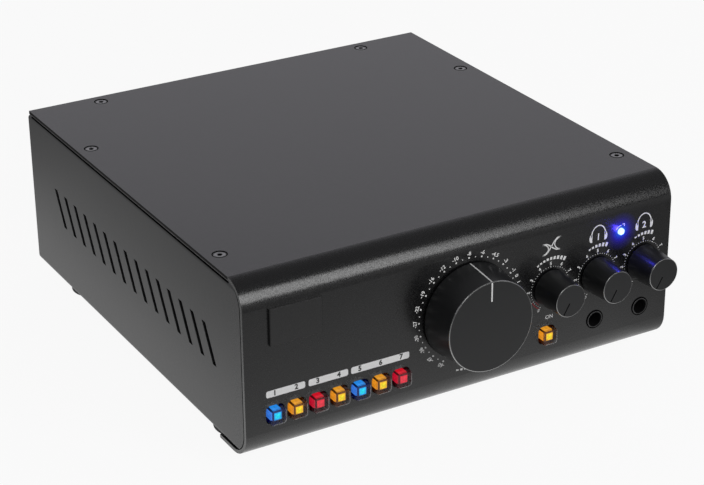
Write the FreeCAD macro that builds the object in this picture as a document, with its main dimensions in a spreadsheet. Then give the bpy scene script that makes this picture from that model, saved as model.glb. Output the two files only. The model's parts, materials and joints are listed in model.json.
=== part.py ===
import FreeCAD
import Part

import math
import os

import Sketcher

Vector = FreeCAD.Vector
Rotation = FreeCAD.Rotation

# Desktop studio monitor controller: a bent cover sheet wraps over a folded tray.
# Frame: +X to the user's right, +Y to the rear, +Z up, in millimetres.
# The origin is at the middle of the whole object's footprint, at the feet's soles.

DRIVING_SIZES = {
    # Case
    "width": 210.0,
    "height": 85.0,
    "case_depth": 218.1,
    "cover_depth": 216.5,
    "cover_sheet": 1.6,
    "cover_bend": 11.5,
    "lip_level": 5.9,
    "lip_reach": 24.0,
    "tray_front": 2.2,
    "tray_sheet": 1.5,
    "tray_fold": 2.4,
    "tray_corner": 10.0,
    "flange_relief": 2.0,
    "side_flange": 13.0,
    "rear_flange": 16.0,
    # Vent slots in the side plates
    "vent_slots": 15,
    "vent_pitch": 11.0,
    "vent_first": 30.8,
    "vent_middle": 46.7,
    "vent_rise": 15.6,
    "vent_lean": 9.0,
    "vent_wide": 2.2,
    # Cover screws and the tray's other fasteners
    "screw_side": 98.35,
    "screw_front": 31.4,
    "screw_back": 159.2,
    "screw_rear_side": 71.2,
    "screw_rear": 209.9,
    "screw_head": 2.85,
    "screw_shank": 1.4,
    "screw_length": 7.0,
    "screw_play": 0.3,
    "screw_sunk": 0.15,
    "sink_play": 0.25,
    "sink_angle": 90.0,
    "socket_radius": 1.15,
    "socket_deep": 1.2,
    "pan_radius": 2.7,
    "pan_high": 1.6,
    "pan_length": 4.5,
    "hole_play": 0.1,
    "lip_screw_side": 70.0,
    "lip_screw_in": 17.5,
    # Feet
    "foot_side": 87.0,
    "foot_front": 39.0,
    "foot_rear": 190.0,
    "foot_radius": 12.5,
    "foot_well": 4.0,
    "foot_well_radius": 3.6,
    # Volume dial
    "dial_side": 0.4,
    "dial_level": 47.55,
    "dial_base": 22.0,
    "dial_rim": 20.5,
    "dial_out": 17.5,
    "dial_gap": 1.0,
    "dial_edge": 0.4,
    "pointer_width": 0.65,
    "pointer_depth": 0.8,
    "pointer_proud": 0.05,
    "pointer_reach": 9.0,
    "dial_recess": 8.0,
    "dial_recess_top": 6.0,
    "dial_bore_top": 14.0,
    # Small knobs
    "knob_side": 42.0,
    "knob_pitch": 24.45,
    "knob_level": 47.5,
    "knob_base": 8.4,
    "knob_rim": 7.4,
    "knob_out": 15.3,
    "knob_gap": 0.8,
    "knob_edge": 0.25,
    "notch_width": 0.6,
    "notch_depth": 0.5,
    "notch_start": 1.2,
    "notch_end": 6.9,
    "knob_recess": 6.4,
    "knob_recess_top": 5.5,
    "knob_bore_top": 12.0,
    # Potentiometers
    "shaft_radius": 3.0,
    "shaft_play": 0.05,
    "shaft_in": 7.5,
    "pot_bore_in": 8.0,
    "pot_gap": 0.5,
    "bushing_radius": 3.5,
    "bushing_out": 4.5,
    "nut_radius": 5.8,
    "nut_thick": 2.0,
    "volume_can": 12.0,
    "small_can": 11.0,
    # Push buttons
    "button_side": -91.5,
    "button_pitch": 9.86,
    "button_level": 25.0,
    "on_side": 41.0,
    "window": 8.4,
    "window_corner": 2.2,
    "cap_size": 6.8,
    "cap_out": 3.1,
    "cap_in": 4.5,
    "cap_face": 1.0,
    "cap_edge": 1.2,
    "core_size": 4.6,
    "core_bevel": 0.45,
    "core_play": 0.1,
    "core_in": 6.0,
    "plunger_wide": 2.8,
    "plunger_in": 13.5,
    "plunger_play": 0.1,
    "plunger_floor": 0.2,
    "switch_size": 8.6,
    "switch_front": 8.5,
    # Front board
    "board_in": 16.0,
    "board_thick": 1.6,
    "board_side": 100.0,
    "board_low": 13.0,
    "board_high": 78.0,
    # Indicator lamp
    "lamp_side": 78.3,
    "lamp_level": 65.1,
    "lamp_radius": 1.5,
    "lamp_out": 1.2,
    "lamp_bevel": 0.5,
    "lamp_in": 5.0,
    "lamp_brim": 0.4,
    "lamp_brim_thick": 1.0,
    # Headphone sockets
    "jack_side": 66.35,
    "jack_pitch": 24.4,
    "jack_level": 25.7,
    "jack_bore": 3.2,
    "jack_collar": 4.0,
    "jack_hole": 4.4,
    "jack_body": 12.0,
    "jack_length": 30.0,
    "jack_proud": 0.2,
    "jack_collar_in": 5.0,
    "jack_gap": 0.3,
    "jack_back": 1.0,
    "jack_room": 0.5,
    # Raised plate on the front
    "plate_side": -81.65,
    "plate_level": 64.75,
    "plate_wide": 23.7,
    "plate_high": 16.5,
    "plate_thick": 1.5,
    "plate_edge": 0.35,
    # Rear sockets
    "rear_level": 44.0,
    "rear_step": 12.0,
    "xlr_side": 67.0,
    "xlr_pitch": 27.0,
    "xlr_flange_wide": 26.0,
    "xlr_flange_high": 31.0,
    "xlr_flange_thick": 2.0,
    "xlr_shell": 11.0,
    "xlr_bore": 9.6,
    "xlr_insert": 7.9,
    "xlr_depth": 12.0,
    "xlr_body": 22.0,
    "xlr_pin": 1.25,
    "xlr_pin_circle": 4.6,
    "xlr_flange_corner": 3.0,
    "xlr_hole_play": 0.2,
    "xlr_insert_sunk": 0.2,
    "xlr_contact_in": 9.0,
    "xlr_pin_sunk": 1.0,
    "phono_side": -47.0,
    "phono_pitch": 20.0,
    "phono_neck": 0.3,
    "phono_sleeve": 4.15,
    "phono_bore": 1.6,
    "phono_reach": 9.0,
    "phono_hole": 5.4,
    "phono_hole_play": 0.2,
    "phono_base": 13.0,
    "phono_base_in": 10.0,
    "wall_gap": 0.2,
    "inlet_side": 91.0,
    "inlet_level": 28.0,
    "inlet_radius": 5.5,
    "inlet_bore": 2.9,
    "inlet_pin": 1.0,
    "inlet_out": 2.0,
    "inlet_in": 12.0,
    "inlet_base": 13.0,
    "inlet_base_in": 13.0,
    "inlet_rim": 1.5,
    "inlet_rim_out": 1.4,
    "inlet_well_in": 9.0,
    "inlet_pin_in": 10.0,
    "inlet_pin_sunk": 1.5,
    "rocker_level": 56.0,
    "rocker_frame_wide": 14.0,
    "rocker_frame_high": 21.0,
    "rocker_wide": 9.4,
    "rocker_high": 15.0,
    "rocker_tilt": 8.0,
    "rocker_face": 2.6,
    "rocker_deep": 5.5,
    "rocker_rim": 1.6,
    "rocker_brim": 1.2,
    "rocker_walls_in": 16.0,
    "rocker_room_in": 12.0,
    "rocker_side_play": 0.4,
    "rocker_end_play": 0.6,
    # Main board and what it carries
    "main_side": 90.0,
    "main_front": 34.0,
    "main_rear": 176.0,
    "main_level": 14.3,
    "spacer_radius": 3.2,
    "spacer_inset": 4.0,
    "relay_pitch": 18.0,
    "relay_wide": 10.0,
    "relay_long": 15.0,
    "relay_high": 10.0,
    "relay_inset": 14.0,
    "can_radius": 8.0,
    "can_high": 22.0,
    "can_side": 64.0,
    "can_front": 60.0,
    "can_pitch": 25.0,
    "sink_side": -45.0,
    "sink_front": 72.0,
    "sink_wide": 44.0,
    "sink_deep": 20.0,
    "sink_high": 24.0,
    "sink_web": 4.0,
    "sink_fin": 2.0,
    "sink_fins": 9,
    # How far a cutting shape runs past the face that it cuts
    "run_out": 1.0,
}

FRONT = "(Sizes.dial_out - Sizes.case_depth - Sizes.phono_reach) / 2"
REAR = "(Sizes.dial_out + Sizes.case_depth - Sizes.phono_reach) / 2"
TRAY_LOW = "(Sizes.lip_level + Sizes.cover_sheet)"
TRAY_HIGH = "(Sizes.height - Sizes.cover_sheet)"
TRAY_SIDE = "(Sizes.width / 2)"
BEHIND_WALL = "-Sizes.tray_sheet - Sizes.wall_gap"
BOARD_TOP = "(Sizes.main_level + Sizes.board_thick)"

# Turns that carry a piece's own +Z axis out of the front panel or out of the rear wall.
OUT_OF_FRONT = Rotation(Vector(1, 0, 0), 90)
OUT_OF_REAR = Rotation(Vector(0, 1, 1), 180)
UPRIGHT = Rotation()

# Tolerances for telling edges apart.
CLOSE = 1e-4
SHORTEST_EDGE = 0.5

# Degrees anticlockwise from straight up, as seen from the front.
LOW_END_OF_SCALE = 150

XLR_PIN_ANGLES = (30, 150, 270)

BUTTONS_IN_ROW = 7
SMALL_KNOBS = 3
HEADPHONE_SOCKETS = 2
PHONO_COLUMNS = 3
XLR_SOCKETS = ("xlr_input_right", "xlr_input_left", "xlr_output_right", "xlr_output_left")

document = FreeCAD.newDocument("MonitorController")
sizes = document.addObject("Spreadsheet::Sheet", "Sizes")
nodes = {}


def fill_sheet():
    for row, (alias, value) in enumerate(DRIVING_SIZES.items(), start=1):
        sizes.set("A%d" % row, alias)
        sizes.set("B%d" % row, str(value))
        sizes.setAlias("B%d" % row, alias)
    document.recompute()


def measure(expression):
    """The present value of an expression of the sheet's cells."""
    return float(sizes.evalExpression(str(expression)))


# Helpers: placing and binding ------------------------------------------------------------


def place(piece, side, depth, level, turn=UPRIGHT):
    piece.Placement = FreeCAD.Placement(Vector(), turn)
    for axis, expression in zip("xyz", (side, depth, level)):
        piece.setExpression("Placement.Base." + axis, str(expression))


def bind(piece, **bound):
    for name, expression in bound.items():
        piece.setExpression(name, str(expression))


def finish(piece, node):
    """Names a finished sub-part; its label is its file's name."""
    piece.Label = node
    nodes[node] = piece
    return piece


def count_of(alias):
    return int(round(measure("Sizes." + alias)))


# Helpers: PartDesign ---------------------------------------------------------------------


def new_body(name):
    return document.addObject("PartDesign::Body", name)


def origin_feature(body, role):
    return next(part for part in body.Origin.OriginFeatures if part.Role == role)


def new_sketch(body, name, plane, lift="0"):
    sketch = body.newObject("Sketcher::SketchObject", name)
    sketch.AttachmentSupport = [(origin_feature(body, plane), "")]
    sketch.MapMode = "FlatFace"
    sketch.setExpression("AttachmentOffset.Base.z", str(lift))
    return sketch


def constrain(sketch, expression, kind, *picked):
    value = measure(expression)
    index = sketch.addConstraint(Sketcher.Constraint(kind, *picked, value))
    sketch.setExpression("Constraints[%d]" % index, str(expression))


def hold(sketch, geometry, point, across, up):
    """Holds one point of a line or arc at a place measured from the sketch's origin."""
    constrain(sketch, across, "DistanceX", -1, 1, geometry, point)
    constrain(sketch, up, "DistanceY", -1, 1, geometry, point)


def polygon(sketch, corners):
    """A closed outline of straight lines through corners given as expression pairs."""
    spots = [Vector(measure(across), measure(up), 0) for across, up in corners]
    first = sketch.GeometryCount
    for start, end in zip(spots, spots[1:] + spots[:1]):
        sketch.addGeometry(Part.LineSegment(start, end), False)
    for step, (across, up) in enumerate(corners):
        following = first + (step + 1) % len(corners)
        sketch.addConstraint(Sketcher.Constraint("Coincident", first + step, 2, following, 1))
        hold(sketch, first + step, 1, across, up)


def rectangle(sketch, left, right, low, high):
    polygon(sketch, [(left, low), (right, low), (right, high), (left, high)])


def circle(sketch, across, up, radius):
    centre = Vector(measure(across), measure(up), 0)
    round_line = Part.Circle(centre, Vector(0, 0, 1), measure(radius))
    index = sketch.addGeometry(round_line, False)
    hold(sketch, index, 3, across, up)
    constrain(sketch, radius, "Radius", index)


def join_tangent(sketch, line, line_end, arc, arc_end):
    sketch.addConstraint(Sketcher.Constraint("Tangent", line, line_end, arc, arc_end))


def arc_at(centre, radius, start, end):
    whole = Part.Circle(centre, Vector(0, 0, 1), radius)
    return Part.ArcOfCircle(whole, math.radians(start), math.radians(end))


def add_pad(body, sketch, length, both_ways=False):
    pad = body.newObject("PartDesign::Pad", sketch.Name + "_pad")
    pad.Profile = sketch
    pad.SideType = "Symmetric" if both_ways else "One side"
    pad.setExpression("Length", str(length))
    document.recompute()
    return pad


def add_pocket(body, sketch, length=None, backwards=False, both_ways=False):
    """Cuts a sketch's outline out of the body and makes sure that it cut something."""
    before = body.Shape.Volume
    pocket = body.newObject("PartDesign::Pocket", sketch.Name + "_pocket")
    pocket.Profile = sketch
    pocket.SideType = "Symmetric" if both_ways else "One side"
    if length is None:
        pocket.Type = "ThroughAll"
    else:
        pocket.setExpression("Length", str(length))
    pocket.Reversed = backwards
    document.recompute()
    if not body.Shape.Volume < before:
        raise RuntimeError(pocket.Name + " cuts nothing")
    return pocket


def add_turned(body, sketch):
    """Revolves a sketch in the body's XZ plane about the body's own Z axis."""
    turned = body.newObject("PartDesign::Revolution", sketch.Name + "_turned")
    turned.Profile = sketch
    turned.ReferenceAxis = (sketch, ["V_Axis"])
    turned.Angle = 360
    document.recompute()
    return turned


def row_pattern(body, feature, direction, spacing, count):
    pattern = body.newObject("PartDesign::LinearPattern", feature.Name + "_row")
    pattern.Originals = [feature]
    pattern.Direction = (origin_feature(body, direction), [""])
    pattern.setExpression("Length", "(%s) * (%s - 1)" % (spacing, count))
    pattern.setExpression("Occurrences", str(count))
    body.Tip = pattern
    document.recompute()
    return pattern


def edges_where(shape, test):
    return ["Edge%d" % number for number, edge in enumerate(shape.Edges, start=1) if test(edge)]


def round_edges(body, base, radius, test, kind="Fillet"):
    feature = body.newObject("PartDesign::" + kind, base.Name + "_" + kind.lower())
    feature.Base = (base, edges_where(base.Shape, test))
    feature.setExpression("Size" if kind == "Chamfer" else "Radius", str(radius))
    document.recompute()
    return feature


def runs_along(axis, **spots):
    """A test for straight edges along one axis at given places on the other axes."""

    def test(edge):
        ends = [vertex.Point for vertex in edge.Vertexes]
        if len(ends) != 2 or not isinstance(edge.Curve, (Part.Line, Part.LineSegment)):
            return False
        if abs(getattr(ends[0], axis) - getattr(ends[1], axis)) < SHORTEST_EDGE:
            return False
        return all(
            abs(getattr(end, name) - measure(value)) < CLOSE
            for end in ends
            for name, value in spots.items()
        )

    return test


def circle_at(level, radius):
    """A test for circular edges of one radius at one height above the body's origin."""

    def test(edge):
        if not isinstance(edge.Curve, Part.Circle):
            return False
        right_level = abs(edge.Curve.Center.z - measure(level)) < CLOSE
        return right_level and abs(edge.Curve.Radius - measure(radius)) < CLOSE

    return test


def any_of(*tests):
    """A test that an edge passes when it passes one of the given tests."""
    return lambda edge: any(test(edge) for test in tests)


def turned_body(name, profile):
    """A body revolved from (radius, height) corners."""
    body = new_body(name)
    sketch = new_sketch(body, name + "_profile", "XZ_Plane")
    polygon(sketch, profile)
    add_turned(body, sketch)
    return body


# Helpers: Part primitives and booleans ---------------------------------------------------


def block(name, left, right, near, far, low, high):
    solid = document.addObject("Part::Box", name)
    bind(
        solid,
        Length="(%s) - (%s)" % (right, left),
        Width="(%s) - (%s)" % (far, near),
        Height="(%s) - (%s)" % (high, low),
    )
    place(solid, left, near, low)
    return solid


def square_block(name, size, low, high):
    half = "(%s) / 2" % size
    return block(name, "-" + half, half, "-" + half, half, low, high)


def worked_edges(kind, name, plain, test, size):
    """A plain block with its chosen edges rounded or bevelled."""
    worked = document.addObject("Part::" + kind, name)
    worked.Base = plain
    document.recompute()
    reach = measure(size)
    worked.Edges = [(int(label[4:]), reach, reach) for label in edges_where(plain.Shape, test)]
    return worked


def rod(name, radius, low, high, side="0", depth="0"):
    solid = document.addObject("Part::Cylinder", name)
    bind(solid, Radius=radius, Height="(%s) - (%s)" % (high, low))
    place(solid, side, depth, low)
    return solid


def hexagonal(name, radius, low, high):
    solid = document.addObject("Part::Prism", name)
    solid.Polygon = 6
    bind(solid, Circumradius=radius, Height="(%s) - (%s)" % (high, low))
    place(solid, "0", "0", low)
    return solid


def cone(name, low_radius, high_radius, low, high):
    solid = document.addObject("Part::Cone", name)
    bind(solid, Radius1=low_radius, Radius2=high_radius, Height="(%s) - (%s)" % (high, low))
    place(solid, "0", "0", low)
    return solid


def fuse(name, *pieces):
    joined = document.addObject("Part::MultiFuse", name)
    joined.Shapes = list(pieces)
    joined.Refine = True
    return joined


def cut(name, base, *tools):
    result = document.addObject("Part::Cut", name)
    result.Base = base
    result.Tool = tools[0] if len(tools) == 1 else fuse(name + "_tools", *tools)
    return result


def copies(name, piece, spots, turn=UPRIGHT):
    """One compound of linked copies of a piece at (side, depth, level) expressions."""
    links = []
    for number, spot in enumerate(spots, start=1):
        link = document.addObject("App::Link", "%s_copy_%d" % (name, number))
        link.LinkedObject = piece
        place(link, *spot, turn)
        links.append(link)
    group = document.addObject("Part::Compound", name)
    group.Links = links
    return group


# Shared places ---------------------------------------------------------------------------


def behind_front(distance):
    return "(%s + %s)" % (FRONT, distance)


def knob_side(number):
    return "(Sizes.knob_side + Sizes.knob_pitch * %d)" % number


def button_sides():
    spot = "(Sizes.button_side + Sizes.button_pitch * %d)"
    row = [spot % number for number in range(BUTTONS_IN_ROW)]
    return row + ["Sizes.on_side"]


def jack_side(number):
    return "(Sizes.jack_side + Sizes.jack_pitch * %d)" % number


def cover_screw_spots():
    spots = []
    for sign in ("-", ""):
        for depth in ("Sizes.screw_front", "Sizes.screw_back"):
            spots.append((sign + "Sizes.screw_side", behind_front(depth)))
        spots.append((sign + "Sizes.screw_rear_side", behind_front("Sizes.screw_rear")))
    return spots


def lip_screw_spots():
    depth = behind_front("Sizes.lip_screw_in")
    return [(sign + "Sizes.lip_screw_side", depth) for sign in ("-", "")]


def foot_spots():
    spots = {}
    for row, depth in (("front", "Sizes.foot_front"), ("rear", "Sizes.foot_rear")):
        for hand, sign in (("left", "-"), ("right", "")):
            spots[row + "_" + hand] = (sign + "Sizes.foot_side", behind_front(depth))
    return spots


def xlr_side(number):
    return "(Sizes.xlr_side - Sizes.xlr_pitch * %d)" % number


def phono_spots():
    """Three columns of two on the rear wall."""
    spots = []
    for column in range(PHONO_COLUMNS):
        side = "(Sizes.phono_side - Sizes.phono_pitch * %d)" % column
        for sign in ("-", "+"):
            spots.append((side, REAR, "Sizes.rear_level %s Sizes.rear_step" % sign))
    return spots


def spacer_spots():
    reach = "(Sizes.main_side - Sizes.spacer_inset)"
    near = behind_front("Sizes.main_front + Sizes.spacer_inset")
    far = behind_front("Sizes.main_rear - Sizes.spacer_inset")
    return [(sign + reach, depth) for sign in ("-", "") for depth in (near, far)]


# Case ------------------------------------------------------------------------------------


def make_cover():
    """One sheet bent twice: top, front panel and the lip under the tray's front edge."""
    body = new_body("CoverSheet")
    inner_low = TRAY_LOW
    inner_high = TRAY_HIGH
    inside = behind_front("Sizes.cover_sheet")
    rear_edge = behind_front("Sizes.cover_depth")
    lip_edge = behind_front("Sizes.lip_reach")
    profile = new_sketch(body, "cover_profile", "YZ_Plane")
    polygon(
        profile,
        [
            (rear_edge, "Sizes.height"),
            (FRONT, "Sizes.height"),
            (FRONT, "Sizes.lip_level"),
            (lip_edge, "Sizes.lip_level"),
            (lip_edge, inner_low),
            (inside, inner_low),
            (inside, inner_high),
            (rear_edge, inner_high),
        ],
    )
    sheet = add_pad(body, profile, "Sizes.width", both_ways=True)
    for radius, depth, levels in (
        ("Sizes.cover_bend", FRONT, ("Sizes.height", "Sizes.lip_level")),
        ("Sizes.cover_bend - Sizes.cover_sheet", inside, (inner_high, inner_low)),
    ):
        corners = any_of(*(runs_along("x", y=depth, z=level) for level in levels))
        sheet = round_edges(body, sheet, radius, corners)
    cut_panel_holes(body)
    cut_button_windows(body)
    cut_cover_screw_holes(body)
    return finish(body, "cover")


def cut_panel_holes(body):
    # The sketch lies in the front panel's face, seen from the front.
    holes = new_sketch(body, "panel_holes", "XZ_Plane", lift="-(%s)" % FRONT)
    clearance = "Sizes.bushing_radius + Sizes.hole_play"
    circle(holes, "Sizes.dial_side", "Sizes.dial_level", clearance)
    for number in range(SMALL_KNOBS):
        circle(holes, knob_side(number), "Sizes.knob_level", clearance)
    for number in range(HEADPHONE_SOCKETS):
        circle(holes, jack_side(number), "Sizes.jack_level", "Sizes.jack_hole")
    lamp_hole = "Sizes.lamp_radius + Sizes.hole_play"
    circle(holes, "Sizes.lamp_side", "Sizes.lamp_level", lamp_hole)
    add_pocket(body, holes, "2 * Sizes.cover_sheet")


def cut_button_windows(body):
    for name, side in (("row_window", "Sizes.button_side"), ("on_window", "Sizes.on_side")):
        window = new_sketch(body, name, "XZ_Plane", lift="-(%s)" % FRONT)
        rounded_square(window, side, "Sizes.button_level", "Sizes.window", "Sizes.window_corner")
        opening = add_pocket(body, window, "2 * Sizes.cover_sheet")
        if name == "row_window":
            row_pattern(body, opening, "X_Axis", "Sizes.button_pitch", BUTTONS_IN_ROW)


def rounded_square(sketch, across, up, size, corner):
    """A square with rounded corners about a centre."""
    reach = "((%s) / 2 - %s)" % (size, corner)
    signs = ((1, 1), (-1, 1), (-1, -1), (1, -1))
    middle = Vector(measure(across), measure(up), 0)
    span = measure(reach)
    radius = measure(corner)
    arcs = []
    lines = []
    for quarter, (right, top) in enumerate(signs):
        centre = middle + Vector(right * span, top * span, 0)
        corner_arc = arc_at(centre, radius, 90 * quarter, 90 * quarter + 90)
        arcs.append(sketch.addGeometry(corner_arc, False))
    for quarter in range(4):
        start = sketch.getPoint(arcs[quarter], 2)
        end = sketch.getPoint(arcs[(quarter + 1) % 4], 1)
        lines.append(sketch.addGeometry(Part.LineSegment(start, end), False))
    for quarter, line in enumerate(lines):
        join_tangent(sketch, line, 1, arcs[quarter], 2)
        join_tangent(sketch, line, 2, arcs[(quarter + 1) % 4], 1)
    # Two opposite corners, held and given their radius, fix the whole outline.
    for quarter, sign in ((0, "+"), (2, "-")):
        hold(
            sketch,
            arcs[quarter],
            3,
            "%s %s %s" % (across, sign, reach),
            "%s %s %s" % (up, sign, reach),
        )
        constrain(sketch, corner, "Radius", arcs[quarter])


def cut_cover_screw_holes(body):
    rims = new_sketch(body, "screw_holes", "XY_Plane", lift="Sizes.height")
    for side, depth in cover_screw_spots():
        circle(rims, side, depth, "Sizes.screw_shank + Sizes.screw_play")
    holes = body.newObject("PartDesign::Hole", "countersinks")
    holes.Profile = rims
    document.recompute()
    holes.DepthType = "Dimension"
    holes.HoleCutType = "Countersink"
    bind(
        holes,
        Depth="2 * Sizes.cover_sheet",
        Diameter="2 * (Sizes.screw_shank + Sizes.screw_play)",
        HoleCutDiameter="2 * (Sizes.screw_head + Sizes.sink_play)",
        HoleCutCountersinkAngle="Sizes.sink_angle",
    )
    document.recompute()
    lip_rims = new_sketch(body, "lip_holes", "XY_Plane", lift="Sizes.lip_level")
    for side, depth in lip_screw_spots():
        circle(lip_rims, side, depth, "Sizes.screw_shank + Sizes.screw_play")
    add_pocket(body, lip_rims, "Sizes.cover_sheet", backwards=True)


def make_tray():
    """Floor, side plates, rear wall and top flanges folded from one sheet."""
    body = new_body("TraySheet")
    front = behind_front("Sizes.tray_front")
    plan = new_sketch(body, "tray_plan", "XY_Plane", lift=TRAY_LOW)
    rectangle(plan, "-" + TRAY_SIDE, TRAY_SIDE, front, REAR)
    outer = add_pad(body, plan, "%s - %s" % (TRAY_HIGH, TRAY_LOW))
    folds = []
    for level in (TRAY_LOW, TRAY_HIGH):
        folds.append(runs_along("x", y=REAR, z=level))
        for sign in ("-", ""):
            folds.append(runs_along("y", x=sign + TRAY_SIDE, z=level))
    round_edges(body, outer, "Sizes.tray_fold", any_of(*folds))
    trim_front_corners(body, front)
    hollow_tray(body, front)
    cut_vents(body)
    cut_rear_wall(body)
    cut_tray_screw_holes(body)
    return finish(body, "chassis")


def hollow_tray(body, front):
    inner_side = "(%s - Sizes.tray_sheet)" % TRAY_SIDE
    floor_top = "%s + Sizes.tray_sheet" % TRAY_LOW
    inside = new_sketch(body, "tray_inside", "XY_Plane", lift=floor_top)
    rectangle(inside, "-" + inner_side, inner_side, front, "%s - Sizes.tray_sheet" % REAR)
    depth = "%s - %s - 2 * Sizes.tray_sheet" % (TRAY_HIGH, TRAY_LOW)
    add_pocket(body, inside, depth, backwards=True)
    # The opening between the flanges that the cover's screws go into.
    mouth = new_sketch(body, "tray_mouth", "XY_Plane", lift=TRAY_HIGH)
    half = "(%s - Sizes.side_flange)" % TRAY_SIDE
    rectangle(mouth, "-" + half, half, front, "%s - Sizes.rear_flange" % REAR)
    add_pocket(body, mouth, "2 * Sizes.tray_sheet")
    # Floor and flanges stop behind the cover's bends.
    relief = new_sketch(body, "tray_relief", "XY_Plane", lift=TRAY_HIGH)
    limit = behind_front("Sizes.tray_front + Sizes.tray_corner + Sizes.flange_relief")
    rectangle(relief, "-" + inner_side, inner_side, FRONT, limit)
    add_pocket(body, relief)


def trim_front_corners(body, front):
    """Rounds the side plates' front corners to clear the inside of the cover's bends."""
    corners = new_sketch(body, "front_corners", "YZ_Plane")
    centre_depth = "%s + Sizes.tray_corner" % front
    ahead = "%s - Sizes.run_out" % front
    for level, outside, turn in (
        (TRAY_HIGH, "%s + Sizes.run_out" % TRAY_HIGH, 1),
        (TRAY_LOW, "%s - Sizes.run_out" % TRAY_LOW, -1),
    ):
        centre_level = "%s - %d * Sizes.tray_corner" % (level, turn)
        centre = Vector(measure(centre_depth), measure(centre_level), 0)
        start, end = (90, 180) if turn > 0 else (180, 270)
        bend = arc_at(centre, measure("Sizes.tray_corner"), start, end)
        arc = corners.addGeometry(bend, False)
        outer_end, front_end = (1, 2) if turn > 0 else (2, 1)
        hold(corners, arc, 3, centre_depth, centre_level)
        constrain(corners, "Sizes.tray_corner", "Radius", arc)
        constrain(corners, centre_depth, "DistanceX", -1, 1, arc, outer_end)
        constrain(corners, centre_level, "DistanceY", -1, 1, arc, front_end)
        spots = [
            (front, centre_level),
            (ahead, centre_level),
            (ahead, outside),
            (centre_depth, outside),
        ]
        path = [Vector(measure(across), measure(up), 0) for across, up in spots]
        path.append(corners.getPoint(arc, outer_end))
        lines = []
        for begin, finish_at in zip(path, path[1:]):
            lines.append(corners.addGeometry(Part.LineSegment(begin, finish_at), False))
        corners.addConstraint(Sketcher.Constraint("Coincident", lines[0], 1, arc, front_end))
        corners.addConstraint(Sketcher.Constraint("Coincident", lines[-1], 2, arc, outer_end))
        for line, following in zip(lines, lines[1:]):
            corners.addConstraint(Sketcher.Constraint("Coincident", line, 2, following, 1))
        for line, (across, up) in zip(lines[1:], spots[1:]):
            hold(corners, line, 1, across, up)
    add_pocket(body, corners, "2 * Sizes.width", both_ways=True)


def cut_vents(body):
    """Leaning slots through both side plates, in one row that repeats along the case."""
    vent = new_sketch(body, "first_vent", "YZ_Plane")
    outline = []
    for end, half in (("-", "-"), ("-", "+"), ("+", "+"), ("+", "-")):
        lean = "%s Sizes.vent_lean / 2 %s Sizes.vent_wide / 2" % (end, half)
        depth = behind_front("Sizes.vent_first " + lean)
        outline.append((depth, "Sizes.vent_middle %s Sizes.vent_rise / 2" % end))
    polygon(vent, outline)
    first = add_pocket(body, vent, "2 * Sizes.width", both_ways=True)
    row_pattern(body, first, "Y_Axis", "Sizes.vent_pitch", "Sizes.vent_slots")


def cut_rear_wall(body):
    holes = new_sketch(body, "rear_holes", "XZ_Plane", lift="-(%s)" % REAR)
    shell_hole = "Sizes.xlr_shell + Sizes.xlr_hole_play"
    for number in range(len(XLR_SOCKETS)):
        circle(holes, xlr_side(number), "Sizes.rear_level", shell_hole)
    for side, _, level in phono_spots():
        circle(holes, side, level, "Sizes.phono_hole")
    inlet_hole = "Sizes.inlet_radius + Sizes.hole_play"
    circle(holes, "Sizes.inlet_side", "Sizes.inlet_level", inlet_hole)
    half_wide = "(Sizes.rocker_frame_wide / 2 - Sizes.rocker_brim + Sizes.hole_play)"
    half_high = "(Sizes.rocker_frame_high / 2 - Sizes.rocker_brim + Sizes.hole_play)"
    rectangle(
        holes,
        "Sizes.inlet_side - " + half_wide,
        "Sizes.inlet_side + " + half_wide,
        "Sizes.rocker_level - " + half_high,
        "Sizes.rocker_level + " + half_high,
    )
    add_pocket(body, holes, "2 * (Sizes.tray_sheet + Sizes.run_out)", both_ways=True)


def cut_tray_screw_holes(body):
    flange_holes = new_sketch(body, "flange_holes", "XY_Plane", lift=TRAY_HIGH)
    for side, depth in cover_screw_spots():
        circle(flange_holes, side, depth, "Sizes.screw_shank")
    add_pocket(body, flange_holes, "2 * Sizes.tray_sheet")
    floor_holes = new_sketch(body, "floor_holes", "XY_Plane", lift=TRAY_LOW)
    for side, depth in lip_screw_spots() + list(foot_spots().values()):
        circle(floor_holes, side, depth, "Sizes.screw_shank")
    add_pocket(body, floor_holes, "2 * Sizes.tray_sheet", both_ways=True)


def countersunk_screw():
    """A screw whose head's top is at height 0 and whose shank points down."""
    under_head = "Sizes.screw_shank - Sizes.screw_head"
    head = cone("screw_cone", "Sizes.screw_shank", "Sizes.screw_head", under_head, "0")
    shank = rod("screw_thread", "Sizes.screw_shank", "-Sizes.screw_length", "0")
    socket = hexagonal("screw_socket", "Sizes.socket_radius", "-Sizes.socket_deep", "Sizes.run_out")
    return cut("countersunk_screw", fuse("screw_blank", head, shank), socket)


def pan_screw():
    """A screw whose head stands above height 0 and whose shank points down."""
    head = rod("pan_head", "Sizes.pan_radius", "0", "Sizes.pan_high")
    shank = rod("pan_shank", "Sizes.screw_shank", "-Sizes.pan_length", "0")
    return fuse("pan_screw", head, shank)


def make_screws():
    sunk = countersunk_screw()
    top = "Sizes.height - Sizes.screw_sunk"
    spots = [(side, depth, top) for side, depth in cover_screw_spots()]
    finish(copies("CoverScrews", sunk, spots), "cover_screws")
    pan = pan_screw()
    head_down = Rotation(Vector(1, 0, 0), 180)
    spots = [(side, depth, "Sizes.lip_level") for side, depth in lip_screw_spots()]
    finish(copies("LipScrews", pan, spots, head_down), "lip_screws")
    spots = [(side, depth, "Sizes.foot_well") for side, depth in foot_spots().values()]
    finish(copies("FootScrews", pan, spots, head_down), "foot_screws")


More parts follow.
